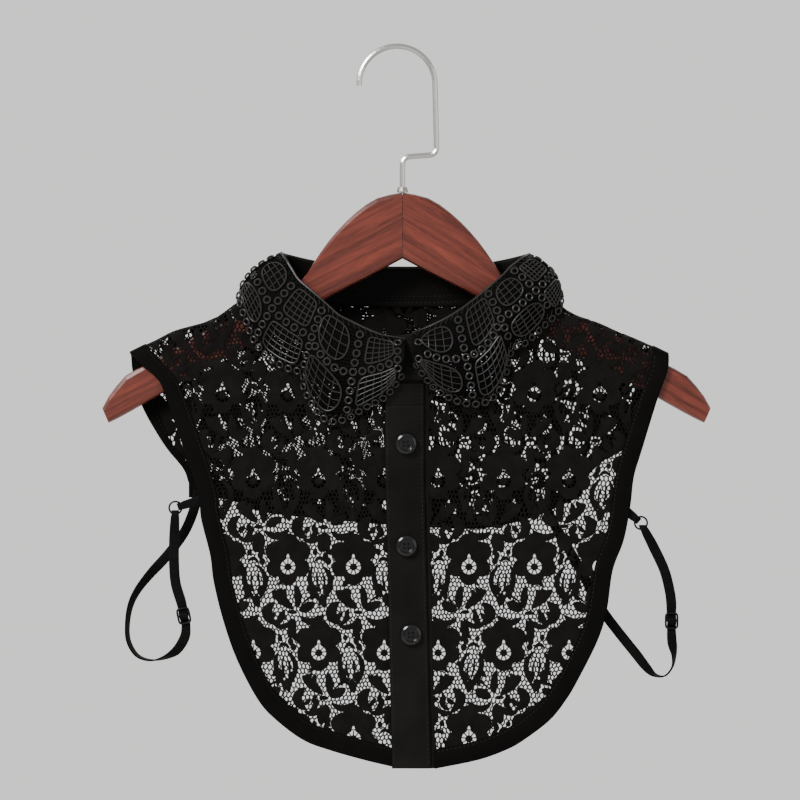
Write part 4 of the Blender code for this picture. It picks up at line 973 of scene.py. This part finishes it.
def tile_border(tile, power):
    """The loop round a tile: a superellipse, cos and sin to a power below 1."""
    turn = np.linspace(0, 2 * math.pi, 36, endpoint=False)
    across, below = (0.5 + 0.5 * powered(v, power) for v in (np.cos(turn), np.sin(turn)))
    return tile_point(tile, across, below)


def tile_net(tile, power, uprights, levels):
    """Lines across and down a tile, ending at its border: (1 - |2 share - 1|^q)^(1/q) / 2, q = 2 / power."""
    lines, along = [], np.linspace(-1, 1, 9)
    for count, upright in ((uprights, True), (levels, False)):
        share = np.arange(1, count + 1)[:, None] / (count + 1) + 0 * along
        reach = 0.5 * (1 - np.abs(2 * share - 1) ** (2 / power)) ** (power / 2)
        other = 0.5 + reach * along
        lines.append(tile_point(tile, *((share, other) if upright else (other, share))))
    return np.concatenate(lines)


def zigzag(low, high, above, below, step):
    """A line that swings between two levels of the fall at even steps along it."""
    u = spaced_u(above, low, high, step)
    swing = np.arange(len(u)) % 2
    return np.stack([u, above(u) * swing + below(u) * (1 - swing)], axis=-1)


# %% Lay out the fall
BORDER_CORD, BORDER_PROUD, NET_CORD, NET_PROUD = 0.52, 0.4, 0.36, 0.3
BAR_CORD, BAR_PROUD, BAR_STEP, FOLD_CORD = 0.34, 0.25, 1.9, 0.75
edge_u = spaced_u(lambda u: from_edge(u, RING_GAP), 0.004, 0.996, RING_PITCH)
columns = np.concatenate([[0.06], np.arange(1, 16) / 2, [7.94]])
ring_u, ring_v = [], []
for start, end in zip(columns[:-1], columns[1:]):
    ring_u.append(spaced_u(lambda u: 0 * u + RING_ROW, lobe_u(start), lobe_u(end), ROW_PITCH)[:-1])
    ring_v.append(np.full(len(ring_u[-1]), RING_ROW))
for u in lobe_u(columns):
    v = RING_ROW + from_fold(u, COLUMN_PITCH) * np.concatenate([np.arange(-9, 0), np.arange(1, 9)])
    v = v[(v > from_fold(u, RING_GAP)) & (v < from_edge(u, COLUMN_GAP))]
    ring_u.append(np.full(len(v), u))
    ring_v.append(v)
ring_u, ring_v = np.concatenate(ring_u), np.concatenate(ring_v)
borders, nets = [], []
for lobe in range(8):
    for low, high, zone, shape, uprights, levels in TILES:
        tile = (lobe + low, lobe + high, zone)
        borders.append(tile_border(tile, TILE_POWER[shape]))
        nets.append(tile_net(tile, TILE_POWER[shape], uprights, levels))
fall_blocks = [
    rings_at(edge_u, from_edge(edge_u, RING_GAP)),
    rings_at(ring_u, ring_v),
    cords_on_fall(np.array(borders), BORDER_CORD, BORDER_PROUD, closed=True),
    cords_on_fall(np.concatenate(nets), NET_CORD, NET_PROUD),
]
for above, below in ((lambda u: from_fold(u, 0.8), lambda u: from_fold(u, 3.2)),
                     (lambda u: from_edge(u, 7.2), lambda u: from_edge(u, 5.2))):
    fall_blocks.append(cords_on_fall(zigzag(0.003, 0.997, above, below, BAR_STEP)[None], BAR_CORD, BAR_PROUD))
fold_line = np.linspace(0, 1, 300)[None, :, None] * [1, 0]
fall_blocks.append(cords_on_fall(fold_line, FOLD_CORD, 0.0, 6))
fall_piece = new_piece("cord_lace_rings", joined(fall_blocks), cord_thread)
print(len(edge_u) + len(ring_u), "rings,", len(borders), "tiles")

# %% Close ground behind the cords, in a finish darkened as painted shade
UPRIGHT_PITCH, UPRIGHT_STATIONS, UPRIGHT_RADIUS, UPRIGHT_DEEP = 2.2, 14, 0.34, 0.4
RIBBONS, RIBBON_STATIONS, RIBBON_WIDE, RIBBON_THICK, RIBBON_DEEP = 27, 260, 0.9, 0.3, 0.55
GROUND_GAP = 4.0
across_u = spaced_u(lambda u: from_edge(u, 5.4), 0.0, 1.0, UPRIGHT_PITCH)[:, None]
across_v = np.linspace(0, 1, UPRIGHT_STATIONS) * from_edge(across_u, GROUND_GAP)
long_u = np.linspace(0, 1, RIBBON_STATIONS)
level_v = np.arange(1, RIBBONS + 1)[:, None] / RIBBONS * from_edge(long_u, GROUND_GAP)
points, normals = on_fall(*np.broadcast_arrays(long_u, level_v))
uprights = np.stack(np.broadcast_arrays(across_u, across_v), axis=-1)
ground = joined([
    cords_on_fall(uprights, UPRIGHT_RADIUS, -UPRIGHT_DEEP, 3),
    cords(points - normals * RIBBON_DEEP, normals, RIBBON_WIDE, RIBBON_THICK, 4),
])
# The ground's darker, duller finish paints the shade that falls in the gaps between the cords.
shaded_ground_piece = new_piece("cord_lace_fall", ground, tape_weave_and_painted_shade, ["collar_fall"])

# %% [markdown]
# Plain bands are one cross section carried along a line. The section of a folded tape is round at both
# edges and dips where it is stitched. The stand, plackets and tapes all use it, with their own heights.

# %% Bands
def both_faces(upper):
    """A whole cross section from its upper half, which goes from one edge to the other."""
    upper = np.array(upper, float)
    return np.vstack([upper, upper[-2:0:-1] * [1, -1]])


# cross section: share of the way across, share of the thickness
FOLDED = both_faces([
    (0.0, 0.0), (0.006, 0.55), (0.03, 0.92), (0.08, 1.0), (0.5, 0.98), (0.84, 1.0), (0.875, 0.82),
    (0.91, 0.98), (0.97, 0.92), (0.994, 0.55), (1.0, 0.0),
])
STITCH_PITCH, STITCH_LONG, STITCH_RADIUS, STITCH_DIP = 2.7, 1.9, 0.2, 0.25
# a tape's stitching: share of the way across, distance from the middle plane
STITCH_AT, STITCH_PROUD = 0.875, 0.98


def band(outer, inner, place, half):
    """A band between two flat lines: the section's share across picks the point, its height moves it out."""
    share = FOLDED[:, 0][None, :, None]
    points, normals = place(outer[:, None] * (1 - share) + inner[:, None] * share)
    return carried((points + normals * FOLDED[:, 1][None, :, None] * half)[None])


def proud_of(x, z, side, proud):
    """Points at a distance proud of a panel."""
    return np.stack([x, side * (depth(x, z, side) + proud), z], axis=-1)


def placing(at, side):
    """A placing function: x and height to points at(x, z) and to normals that look away from the hanger."""
    def place(flat):
        x, z = flat[..., 0], flat[..., 1]
        return at(x, z), facing(at, x, z, 0.2, 0.2) * -side
    return place


def plain_hang(side, proud=0.0):
    """The placing function of a band that follows a panel."""
    return placing(lambda x, z: proud_of(x, z, side, proud), side)


def stitches(line, normals, proud):
    """A row of stitches: short cords that dip into the cloth at both ends, at even spacing."""
    far = far_along(line)
    middle = np.arange(STITCH_PITCH / 2, far[-1] - STITCH_PITCH / 2, STITCH_PITCH)
    where = middle[:, None] + np.array([-0.5, -0.25, 0.25, 0.5]) * STITCH_LONG
    points = np.stack([np.interp(where, far, line[:, k]) for k in range(3)], axis=-1)
    out = unit(np.stack([np.interp(where, far, normals[:, k]) for k in range(3)], axis=-1))
    high = proud + np.array([-STITCH_DIP, 0.1, 0.1, -STITCH_DIP])
    return cords(points + out * high[None, :, None], out, STITCH_RADIUS, STITCH_RADIUS, 4)


def stitched_through(line, normals, proud):
    """The same row of stitches on both faces."""
    return [stitches(line, normals, proud), stitches(line, -normals, proud)]


# %% Tapes
tape_pieces, tape_long, stitch_blocks = {}, {}, []
hem = curve_through(BACK_HEM_LINE, 110)
# outer line, inner line, layer, first station that is stitched
tapes = {f"front_{side}": (*edge_lines(FRONT_EDGES[side], 110), -1, 3) for side in ("left", "right")}
tapes |= {f"back_{side}": (*edge_lines(BACK_EDGES[side], 44), 1, 3) for side in ("left", "right")}
tapes["back_hem"] = (hem, hem + [0, BACK_HEM], 1, 0)
for name, (outer, inner, side, first) in tapes.items():
    place = plain_hang(side)
    block = band(outer, inner, place, BINDING / 2)
    tape_pieces[name] = new_piece(f"tape_{name}", block, tape_weave_and_painted_shade, [f"binding_{name}"])
    tape_long[name] = float(far_along((outer + inner) / 2)[-1])
    line, normals = place((outer * (1 - STITCH_AT) + inner * STITCH_AT)[first:])
    stitch_blocks += stitched_through(line, normals, STITCH_PROUD)
print("tape lengths, mm:", {k: round(v) for k, v in tape_long.items()})

# %% [markdown]
# The stand is plain woven cloth, folded along its top. Two rows of stitching run round near its foot, as
# the photograph shows inside the back of the neck.

# %% Stand
lap = math.asin((STAND_LAP / NECK_HALF_WIDTH) ** 1.5) / (2 * math.pi)
turns = np.linspace(-lap, 1 + lap, 1500)
far = far_along(stand_points(turns, 0.0))
stand_long = float(far[-1])
turns = np.interp(np.linspace(0, stand_long, 220), far, turns)


def on_stand(turn, drop):
    """The stand's surface with outward normals, by small differences round and down."""
    def at(turn, drop):
        return stand_points(turn, drop, lapped=True)
    return at(turn, drop), -facing(at, turn, drop, 0.0006, 0.3)


stand_drop = FOLDED[:, 0][None] * STAND_HEIGHT + 0 * turns[:, None]
points, normals = on_stand(turns[:, None] + 0 * stand_drop, stand_drop)
stand_rings = points + normals * FOLDED[:, 1][None, :, None] * PLAIN / 2
stand_piece = new_piece("stand", carried(stand_rings[None]), plain_weave, ["collar_stand"])
for drop in (17.5, 21.4):
    stitch_blocks += stitched_through(*on_stand(turns, np.full(len(turns), drop)), PLAIN / 2)
print("stand length", round(stand_long), "mm")

# %% [markdown]
# The placket is two folded bands. The upper one carries the buttons and is stitched along both edges. It
# isn't quite flat: it ripples a little between the buttons, where it is held, and has a crease below the
# collar. The lower one goes up to the stand, where the top of the garment is fastened out of sight.

# %% Plackets
BUTTONS = [(5.6, -245.5), (5.9, -308.8), (8.7, -363.9)]
CREASE_DOWN, CREASE_DEEP, CREASE_WIDE, STITCH_IN = 13.7, 0.5, 0.6, 1.6
# height of the lower placket's top at its left and right edge, where it meets the stand
UNDER_TOP = (-206.9, -200.4)


def rippled(x, z):
    """The upper placket's middle: waves a fifth of a millimetre high, and a crease."""
    wave = 0.2 * np.sin(0.19 * z + 0.05 * x) + 0.12 * np.sin(0.47 * z - 0.24 * x)
    crease = CREASE_DEEP * np.exp(-(((PLACKET_TOP - CREASE_DOWN - z) / CREASE_WIDE) ** 2))
    return proud_of(x, z, -1, LACE / 2 + SEAM + PLACKET_THICK / 2 + wave - crease)


down = np.concatenate([
    np.linspace(0, 11.4, 9), np.arange(12, 15.8, 0.3), np.linspace(17, PLACKET_TOP - PLACKET_FOOT, 110),
])
middle = np.column_stack([placket_x(PLACKET_TOP - down), PLACKET_TOP - down])
upper_place, half = placing(rippled, -1), np.array([PLACKET_WIDTH / 2, 0])
upper_block = band(middle - half, middle + half, upper_place, PLACKET_THICK / 2)
upper_piece = new_piece("placket_front", upper_block, plain_weave, ["placket_upper"])
top_lift = np.interp(middle[:, 1], (PLACKET_TOP - 6, PLACKET_TOP), (0, 1))[:, None]
under_left = middle - [UNDER_LEFT, 0] + top_lift * [0, UNDER_TOP[0] - PLACKET_TOP]
under_right = middle + [UNDER_RIGHT, 0] + top_lift * [0, UNDER_TOP[1] - PLACKET_TOP]
under_block = band(under_left, under_right, plain_hang(-1, (LACE - UNDER_THICK) / 2), UNDER_THICK / 2)
under_piece = new_piece("placket_back", under_block, plain_weave, ["placket_under"])
for off in (STITCH_IN - PLACKET_WIDTH / 2, PLACKET_WIDTH / 2 - STITCH_IN):
    stitch_blocks.append(stitches(*upper_place(middle + [off, 0]), PLACKET_THICK / 2))
stitch_piece = new_piece("stitching", joined(stitch_blocks), stitch_thread)

# %% [markdown]
# Elastic straps are flat bands that pass through a ring, come back to a slider and go round to the back.
# The route comes from the CAD tables. A rib runs across the band every half millimetre, so the finish
# follows the band's own lengthwise coordinate.

# %% Strap tables
STRAP_WIDE, STRAP_THICK, STRAP_IN_RING, STRAP_IN_SLIDER, TAB_WIDE = 6.2, 1.0, 4.5, 5.6, 5.8
TRIM_RING, TRIM_WIRE, RING_Y, SLIDER_Y = 3.9, 0.6, -5.0, -5.8
SLIDER_WIDE, SLIDER_TALL, SLIDER_THICK, SLIDER_BAR = 8.6, 10.6, 1.2, 1.3
# mm down from the slider's middle, mm behind its middle plane
THREADING = [
    (-6.4, 1.6), (-4.4, 1.7), (-2.6, 0.5), (-1.2, -1.5), (0, -1.8), (1.2, -1.5), (2.6, 0.5), (4.4, 1.7),
    (6.4, 1.6),
]
RINGS = {"left": (-137.6, -285.5), "right": (151.5, -294.9)}
SLIDERS = {"left": (-132.4, -352.5, 12.0), "right": (170.5, -355.6, 0.0)}
TAB_FEET = {"left": (-118.6, -279.4), "right": (139.5, -285.0)}
RUNS = {
    "left": [(-138.4, -303), (-138.6, -318), (-137.6, -332)],
    "right": [(159.5, -310), (166.2, -324.5), (169.6, -338)],
}
# x, y, z and the turn of the band's width in degrees
LOOPS = {
    "left": [
        (-131.9, -4.0, -366, 0), (-137.4, -3.0, -374.5, 15), (-146.3, -1.6, -379.4, 45),
        (-154.4, 0.2, -380.4, 65), (-162.1, 2.2, -377.4, 70), (-167.2, 4.0, -369.2, 70),
        (-168.2, 5.4, -359.3, 70), (-166.5, 6.8, -347.3, 60), (-162.1, 7.8, -337.6, 45),
        (-154.4, 8.6, -327.5, 25), (-146.3, 9.2, -318.7, 0), (-139, 9.3, -310, 0),
        (-132.4, 8.8, -300.3, 0), (-127.8, 7.6, -290, 0), (-125.2, 6.6, -281, 0), (-124, 6.6, -275, 0),
    ],
    "right": [
        (170.9, -4.0, -369, 15), (172.2, -3.2, -377, 60), (171.2, -2, -384.6, 80), (166.5, -0.8, -390.2, 75),
        (160.2, 0.6, -389.6, 50), (155, 1.8, -384.6, 20), (148.6, 3, -376.4, 0), (137.4, 4, -362.4, 0),
        (127.7, 4.4, -349.1, 0), (118.5, 4.6, -332, 0), (106.5, 5.4, -310.5, 0), (98.5, 6.4, -297, 0),
        (94.8, 6.6, -289.5, 0), (92.2, 6.6, -283.5, 0),
    ],
}


# %% Straps
# cross section of elastic: share of half the width, share of half the thickness
ELASTIC = both_faces([
    (-1, 0), (-0.97, 0.7), (-0.9, 1), (-0.45, 0.94), (0, 1), (0.45, 0.94), (0.9, 1), (0.97, 0.7), (1, 0),
])
# how far from the wire's middle the elastic turns round it
ROUND_WIRE = 2.0


def elastic_band(rows, count, across=None):
    """A band along a route of x, y, z, width and turn: its width lies across the line, turned as stated."""
    rows = curve_through(rows, count)
    line, width, turn = rows[:, :3], rows[:, 3:4], np.radians(rows[:, 4:5])
    along = unit(np.gradient(line, axis=0))
    if across is None:
        across = np.cos(turn) * [1, 0, 0] + np.sin(turn) * [0, 1, 0]
    across = unit(across - along * np.sum(across * along, axis=1, keepdims=True))
    normal = np.cross(along, across)
    rings = line[:, None] + across[:, None] * ELASTIC[:, 0][None, :, None] * width[:, None] / 2
    rings = rings + normal[:, None] * ELASTIC[:, 1][None, :, None] * STRAP_THICK / 2
    around = np.linspace(0, 1, len(ELASTIC))
    uv = np.stack(np.broadcast_arrays(around[None], far_along(line)[:, None]), axis=-1).reshape(-1, 2)
    return carried(rings[None]), uv, float(far_along(line)[-1])


def round_ring(side, towards):
    """A half turn through the ring and round its wire, on the side that looks towards a point."""
    ring = np.array(RINGS[side])
    way = (np.array(towards) - ring) / np.linalg.norm(np.array(towards) - ring)
    rows = []
    for angle in np.radians([90, 60, 30, 0, -30, -60, -90]):
        x, z = ring + way * (TRIM_RING - ROUND_WIRE * math.cos(angle))
        rows.append((x, RING_Y + ROUND_WIRE * math.sin(angle), z, STRAP_IN_RING, 0))
    return rows


def strap_rows(side):
    """The route of an elastic: sewn end, ring, slider, and the loop round to the back."""
    slider_x, slider_z, lean = SLIDERS[side]
    way = np.array([math.sin(math.radians(lean)), -math.cos(math.radians(lean))])
    run, ring, middle = RUNS[side], np.array(RINGS[side]), np.array([slider_x, slider_z])
    to_run = (run[0] - ring) / np.linalg.norm(run[0] - ring)
    neck = ring + to_run * (TRIM_RING + 3.5)
    rear = SLIDER_Y + 3.3
    rows = [(*np.insert(middle, 1, rear), STRAP_IN_SLIDER, 0)]
    rows += [(*np.insert(middle - way * 9, 1, rear), STRAP_WIDE, 0)]
    rows += [(x, rear, z, STRAP_WIDE, 0) for x, z in run[::-1]]
    rows += [(neck[0], RING_Y + 1.9, neck[1], STRAP_IN_RING + 0.8, 0)]
    rows += round_ring(side, run[0])
    rows += [(neck[0], RING_Y - 1.9, neck[1], STRAP_IN_RING + 0.8, 0)]
    rows += [(x, SLIDER_Y + 1.2, z, STRAP_WIDE, 0) for x, z in run]
    rows += [(*np.insert(middle - way * 9.5, 1, SLIDER_Y + 1.3), STRAP_WIDE, 0)]
    for far, proud in THREADING:
        rows.append((*np.insert(middle + way * far, 1, SLIDER_Y + proud), STRAP_IN_SLIDER, 0))
    return rows + [(x, y, z, STRAP_WIDE, turn) for x, y, z, turn in LOOPS[side]]


def tab_rows(side):
    """The doubled tab from behind the front's tape, round the ring and back, and its width's direction."""
    foot, ring = np.array(TAB_FEET[side]), np.array(RINGS[side])
    way = (foot - ring) / np.linalg.norm(foot - ring)
    near = ring + way * (TRIM_RING + 3.2)
    inner = -HANG_DEPTH + BINDING / 2 + SEAM + STRAP_THICK / 2
    narrow = STRAP_IN_RING + 0.8
    rows = [(foot[0], inner + 1.5, foot[1], TAB_WIDE, 0), (near[0], RING_Y + 1.9, near[1], narrow, 0)]
    rows += round_ring(side, foot)
    rows += [(near[0], RING_Y - 1.7, near[1], narrow, 0), (foot[0], inner, foot[1], TAB_WIDE, 0)]
    return rows, np.array([[-way[1], 0, way[0]]])


elastic_rib = cloth_finish("elastic_rib", thread_group, (0.0012, 0.0011, 0.0011), (0.0042, 0.0038, 0.0037),
                           (0.5, 0.65), 0.035, 3.0, 0.4, 0.3, coords="UV")
strap_long, on_panels = {}, {"left": [], "right": [], "back": []}
for side in ("left", "right"):
    block, uv, strap_long[side] = elastic_band(strap_rows(side), 520)
    elastic = new_piece(f"elastic_{side}", block, elastic_rib, [f"strap_{side}"], uv)
    on_panels["back"].append(elastic)
    rows, across = tab_rows(side)
    block, uv, _ = elastic_band(rows, 160, across)
    on_panels[side].append(new_piece(f"ring_tab_{side}", block, elastic_rib, [f"tab_{side}"], uv))
print("elastic lengths, mm:", {k: round(v) for k, v in strap_long.items()})

# %% [markdown]
# Buttons are turned plastic with a raised rim and four holes, sewn on with two bars of thread. Rings and
# sliders are small glossy plastic parts with round edges.

# %% Hard finishes
def hard_finish(name, colour, rough, metallic=0.0, gloss=0.5):
    """A smooth Principled finish whose roughness varies by a tenth in fine streaks."""
    made, tree, shader, place = new_finish(name, gloss)
    shader.inputs["Base Color"].default_value = (*colour, 1)
    shader.inputs["Metallic"].default_value = metallic
    streak = node(tree, "ShaderNodeTexNoise", [("Vector", place.outputs["Object"])], Scale=700.0, Detail=3.0)
    rough_between(tree, shader, streak.outputs["Fac"], (rough - 0.05, rough + 0.05))
    return made


button_gloss = hard_finish("button_gloss", (0.002, 0.002, 0.0021), 0.14, gloss=0.26)
trim_gloss = hard_finish("trim_gloss", (0.003, 0.003, 0.0031), 0.2, gloss=0.14)
joint_dark = hard_finish("joint_dark", (0.012, 0.005, 0.004), 0.7)
print("hard finishes:", [m.name for m in (button_gloss, trim_gloss, joint_dark)])

# %% Buttons
BUTTON_RADIUS, BUTTON_TURNS, TOP_STATIONS = 6.5, 72, 26
# profile: radius, height; the first four are the flat middle, where the holes are
BUTTON_PROFILE = np.array([
    (0.02, 1.9), (1.2, 1.88), (2.6, 1.85), (3.7, 1.9), (4.1, 2.15), (4.3, 2.6), (4.5, 2.78), (4.8, 2.8),
    (4.95, 2.76), (5.1, 2.7), (6.1, 2.276), (6.25, 2.18), (6.42, 1.95), (6.5, 1.6), (6.4, 1.1), (6.1, 0.7),
    (4.6, 0.0), (0.02, 0.0),
])
HOLE_AT, HOLE_WIDE, HOLE_DEEP, HOLE_SLOPE, BAR_REACH = 1.45 / 1.2, 0.62, 1.3, 0.22, 1.45 / 1.15


def button_block(x, z):
    """A turned button facing -y: the profile carried round, with four pits pressed in for the holes."""
    turn = np.linspace(0, 2 * math.pi, BUTTON_TURNS, endpoint=False)
    middle, rim = BUTTON_PROFILE[:4], BUTTON_PROFILE[4:]
    radius = np.linspace(middle[0, 0], middle[-1, 0], TOP_STATIONS)
    high = np.concatenate([np.interp(radius, *middle.T), rim[:, 1]])
    radius = np.concatenate([radius, rim[:, 0]])
    flat_x, flat_z = radius[None] * np.cos(turn)[:, None], radius[None] * np.sin(turn)[:, None]
    high = np.repeat(high[None], len(turn), axis=0)
    top = np.arange(len(radius)) < TOP_STATIONS
    for a, b in ((1, 1), (1, -1), (-1, 1), (-1, -1)):
        gap = np.hypot(flat_x - a * HOLE_AT, flat_z - b * HOLE_AT)
        high = high - top * HOLE_DEEP * np.clip((HOLE_WIDE - gap) / HOLE_SLOPE, 0, 1)
    near = max(float(depth(x, z + step, -1)) for step in (-BUTTON_RADIUS, BUTTON_RADIUS))
    base = near + LACE / 2 + PLACKET_THICK + 2 * SEAM
    rings = np.stack([x + flat_x, -(base + high), z + flat_z], axis=-1)
    return carried(rings[None], closed=True), base


def button_threads(x, z, base):
    """Two bars of thread across the holes, and a shank of thread between button and band."""
    t = np.linspace(-1, 1, 9)
    rise = base + 1.85 + 0.35 * (1 - t**4)
    bars = [np.stack([x + t * BAR_REACH, -rise, 0 * t + z + b * HOLE_AT], axis=-1) for b in (-1, 1)]
    shank = np.array([[(x, 0.3 - base, z), (x, -base - 0.4, z)]])
    return joined([
        cords(np.array(bars), np.broadcast_to([0.0, -1.0, 0.0], (2, 9, 3)), 0.4, 0.3),
        cords(shank, np.array([[[1.0, 0, 0]] * 2]), 1.3, 1.3, 10),
    ])


for number, (x, z) in enumerate(BUTTONS, 1):
    block, base = button_block(x, z)
    new_piece(f"shirt_button_{number}", block, button_gloss, [f"button_{number}"])
    new_piece(f"button_thread_{number}", button_threads(x, z, base), stitch_thread)


# %% Rings and sliders
def upright_cord(points, wide, thick, closed=True):
    """A cord along points that lie in an upright plane, closed to a loop or open."""
    return cords(points[None], np.broadcast_to([0.0, 1.0, 0.0], (1, *points.shape)), wide, thick, 10, closed)


turn = np.linspace(0, 2 * math.pi, 48, endpoint=False)
circle = TRIM_RING * np.stack([np.cos(turn), 0 * turn, np.sin(turn)], axis=-1)
across, along = (powered(v, 0.4)[:, None] for v in (np.cos(turn), np.sin(turn)))
wide, tall = (SLIDER_WIDE - SLIDER_BAR) / 2, (SLIDER_TALL - SLIDER_BAR) / 2
for side in ("left", "right"):
    x, z = RINGS[side]
    block = upright_cord(circle + [x, RING_Y, z], TRIM_WIRE, TRIM_WIRE)
    new_piece(f"trim_ring_{side}", block, trim_gloss, [f"ring_{side}"])
    x, z, lean = SLIDERS[side]
    cosine, sine = math.cos(math.radians(lean)), math.sin(math.radians(lean))
    middle, right, up = np.array([[x, SLIDER_Y, z], [cosine, 0, sine], [-sine, 0, cosine]])
    loop = middle + across * wide * right + along * tall * up
    bar = middle + np.linspace(-wide, wide, 5)[:, None] * right
    block = joined([upright_cord(*line) for line in (
        (loop, SLIDER_BAR / 2, SLIDER_THICK / 2), (bar, SLIDER_BAR / 2, SLIDER_THICK / 2, False),
    )])
    new_piece(f"trim_slider_{side}", block, trim_gloss, [f"slider_{side}"])

# %% [markdown]
# The hanger keeps its CAD shape. Its wood is a dark red-brown with long grain that follows each arm, under
# a satin varnish. The hook is bright plated wire.

# %% Wood grain group
grain_group, gin, gout = new_group(
    "grain",
    [("Vector", "NodeSocketVector", None), ("Dark", "NodeSocketColor", (0.024, 0.004, 0.003, 1)),
     ("Light", "NodeSocketColor", (0.148, 0.031, 0.019, 1))],
    [("Color", "NodeSocketColor"), ("Mask", "NodeSocketFloat")],
)
stretch = node(grain_group, "ShaderNodeMapping", [("Vector", gin.outputs["Vector"])], Scale=(2.5, 45, 45))
along = ("Vector", stretch.outputs["Vector"])
lines = node(grain_group, "ShaderNodeTexNoise", [along], Scale=5.0, Detail=7.0, Roughness=0.7, Distortion=0.4)
pores = node(grain_group, "ShaderNodeTexNoise", [along], Scale=60.0, Detail=2.0)
mixed = node(grain_group, "ShaderNodeMath", [(0, pores.outputs["Fac"]), (2, lines.outputs["Fac"])],
             operation="MULTIPLY_ADD")
mixed.inputs[1].default_value = 0.25
steep = node(grain_group, "ShaderNodeMapRange", [("Value", mixed.outputs[0])], From_Min=0.42, From_Max=0.86)
colour = node(grain_group, "ShaderNodeMix", [("Factor", steep.outputs["Result"])], data_type="RGBA")
grain_group.links.new(gin.outputs["Dark"], colour.inputs["A"])
grain_group.links.new(gin.outputs["Light"], colour.inputs["B"])
grain_group.links.new(colour.outputs["Result"], gout.inputs["Color"])
grain_group.links.new(steep.outputs["Result"], gout.inputs["Mask"])


# %% Wood and metal on the CAD nodes
def wood_finish(name, lean, shift):
    """Varnished wood whose grain runs along an arm that leans by so many degrees."""
    made, tree, shader, place = new_finish(name, 0.2)
    turned = node(tree, "ShaderNodeMapping", [("Vector", place.outputs["Object"])],
                  Rotation=(0, math.radians(lean), 0), Location=(shift, 0, shift))
    part = grouped(tree, grain_group, turned.outputs["Vector"])
    tree.links.new(part["Color"], shader.inputs["Base Color"])
    rough_between(tree, shader, part["Mask"], (0.42, 0.3))
    bumped(tree, shader, part["Mask"], 0.12, 0.0003)
    shader.inputs["Coat Weight"].default_value = 0.08
    shader.inputs["Coat Roughness"].default_value = 0.2
    return made


def refinish(name, finish):
    """Puts a finish on a CAD node, which the frame gives by name or as the object itself."""
    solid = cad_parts[name]
    solid = bpy.data.objects[solid] if isinstance(solid, str) else solid
    solid.material_slots[0].material = finish


refinish("arm_left", wood_finish("wood_left", 27, 0.0))
refinish("arm_right", wood_finish("wood_right", -32, 0.4))
refinish("hook", hard_finish("plated_wire", (0.36, 0.35, 0.34), 0.22, metallic=1.0))
refinish("ferrule", hard_finish("plated_ferrule", (0.3, 0.27, 0.24), 0.3, metallic=1.0))

# the glued joint between the arms: x, half thickness, top z, foot z
JOINT_X, JOINT_Y, JOINT_TOP, JOINT_FOOT = 3.4, 5.6, -91.0, -130.4
corners = np.array([[JOINT_X + a * 0.14, b * JOINT_Y, z] for z in (JOINT_TOP, JOINT_FOOT)
                    for a, b in ((-1, -1), (1, -1), (1, 1), (-1, 1))])
new_piece("arm_joint", carried(corners.reshape(1, 2, 4, 3)), joint_dark)
print("wood and metal done")

# %% [markdown]
# Lace, tape and bands were cut flat. The sizes worked out here are the width of each tape, the length of the
# fall along its fold and along its edge, and the area of each cell of its grid. No width under 10 mm can be
# declared.

TAPE_WIDE, LEAST_WIDE = 11.3, 10.0
fold_long, edge_long = (float(far_along(FALL_GRID[:, k])[-1]) for k in (0, -1))
cells = np.linalg.norm(np.cross(np.diff(FALL_GRID, axis=0)[:, :-1], np.diff(FALL_GRID, axis=1)[:-1]), axis=-1)
for name, piece in tape_pieces.items():
    wide = BACK_HEM if name == "back_hem" else TAPE_WIDE
    "lace_back" if "back" in name else "lace_front_left"

# %% [markdown]
# The room is plain: a pale floor far below the garment, a pale world, one soft key light high on the left,
# where the photograph's light comes from, and a weak fill on the right.

# %% Stage and light
floor_mesh = bpy.data.meshes.new("floor")
floor_mesh.from_pydata([(-2, -2, -0.8), (2, -2, -0.8), (2, 2, -0.8), (-2, 2, -0.8)], [], [(0, 1, 2, 3)])
floor = bpy.data.objects.new("floor", floor_mesh)
bpy.context.scene.collection.objects.link(floor)
pale = bpy.data.materials.new("pale_floor")
pale.use_nodes = True
pale.node_tree.nodes["Principled BSDF"].inputs["Base Color"].default_value = (0.72, 0.71, 0.69, 1)
pale.node_tree.nodes["Principled BSDF"].inputs["Roughness"].default_value = 0.8
floor_mesh.materials.append(pale)
floor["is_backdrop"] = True

world = bpy.data.worlds.new("world")
bpy.context.scene.world = world
world.use_nodes = True
world.node_tree.nodes["Background"].inputs["Color"].default_value = (0.92, 0.92, 0.91, 1)
world.node_tree.nodes["Background"].inputs["Strength"].default_value = 1.1


def soft_light(name, place, aim, size, power):
    """A square area light at a place, turned to a point."""
    data = bpy.data.lights.new(name, "AREA")
    data.size, data.energy = size, power
    made = bpy.data.objects.new(name, data)
    made.location = place
    way = np.array(aim) - np.array(place)
    tilt, heading = math.acos(-way[2] / np.linalg.norm(way)), math.atan2(way[1], way[0]) - math.pi / 2
    made.rotation_euler = (tilt, 0, heading)
    bpy.context.scene.collection.objects.link(made)


soft_light("key", (-1.0, -1.4, 0.8), (0, 0, -0.25), 0.65, 62.0)
soft_light("fill", (1.4, -1.2, 0.1), (0, 0, -0.25), 1.2, 6.0)
print("lights:", len(bpy.data.lights))

low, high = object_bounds()
print("visual box:", [round(v, 3) for v in (*low, *high)])
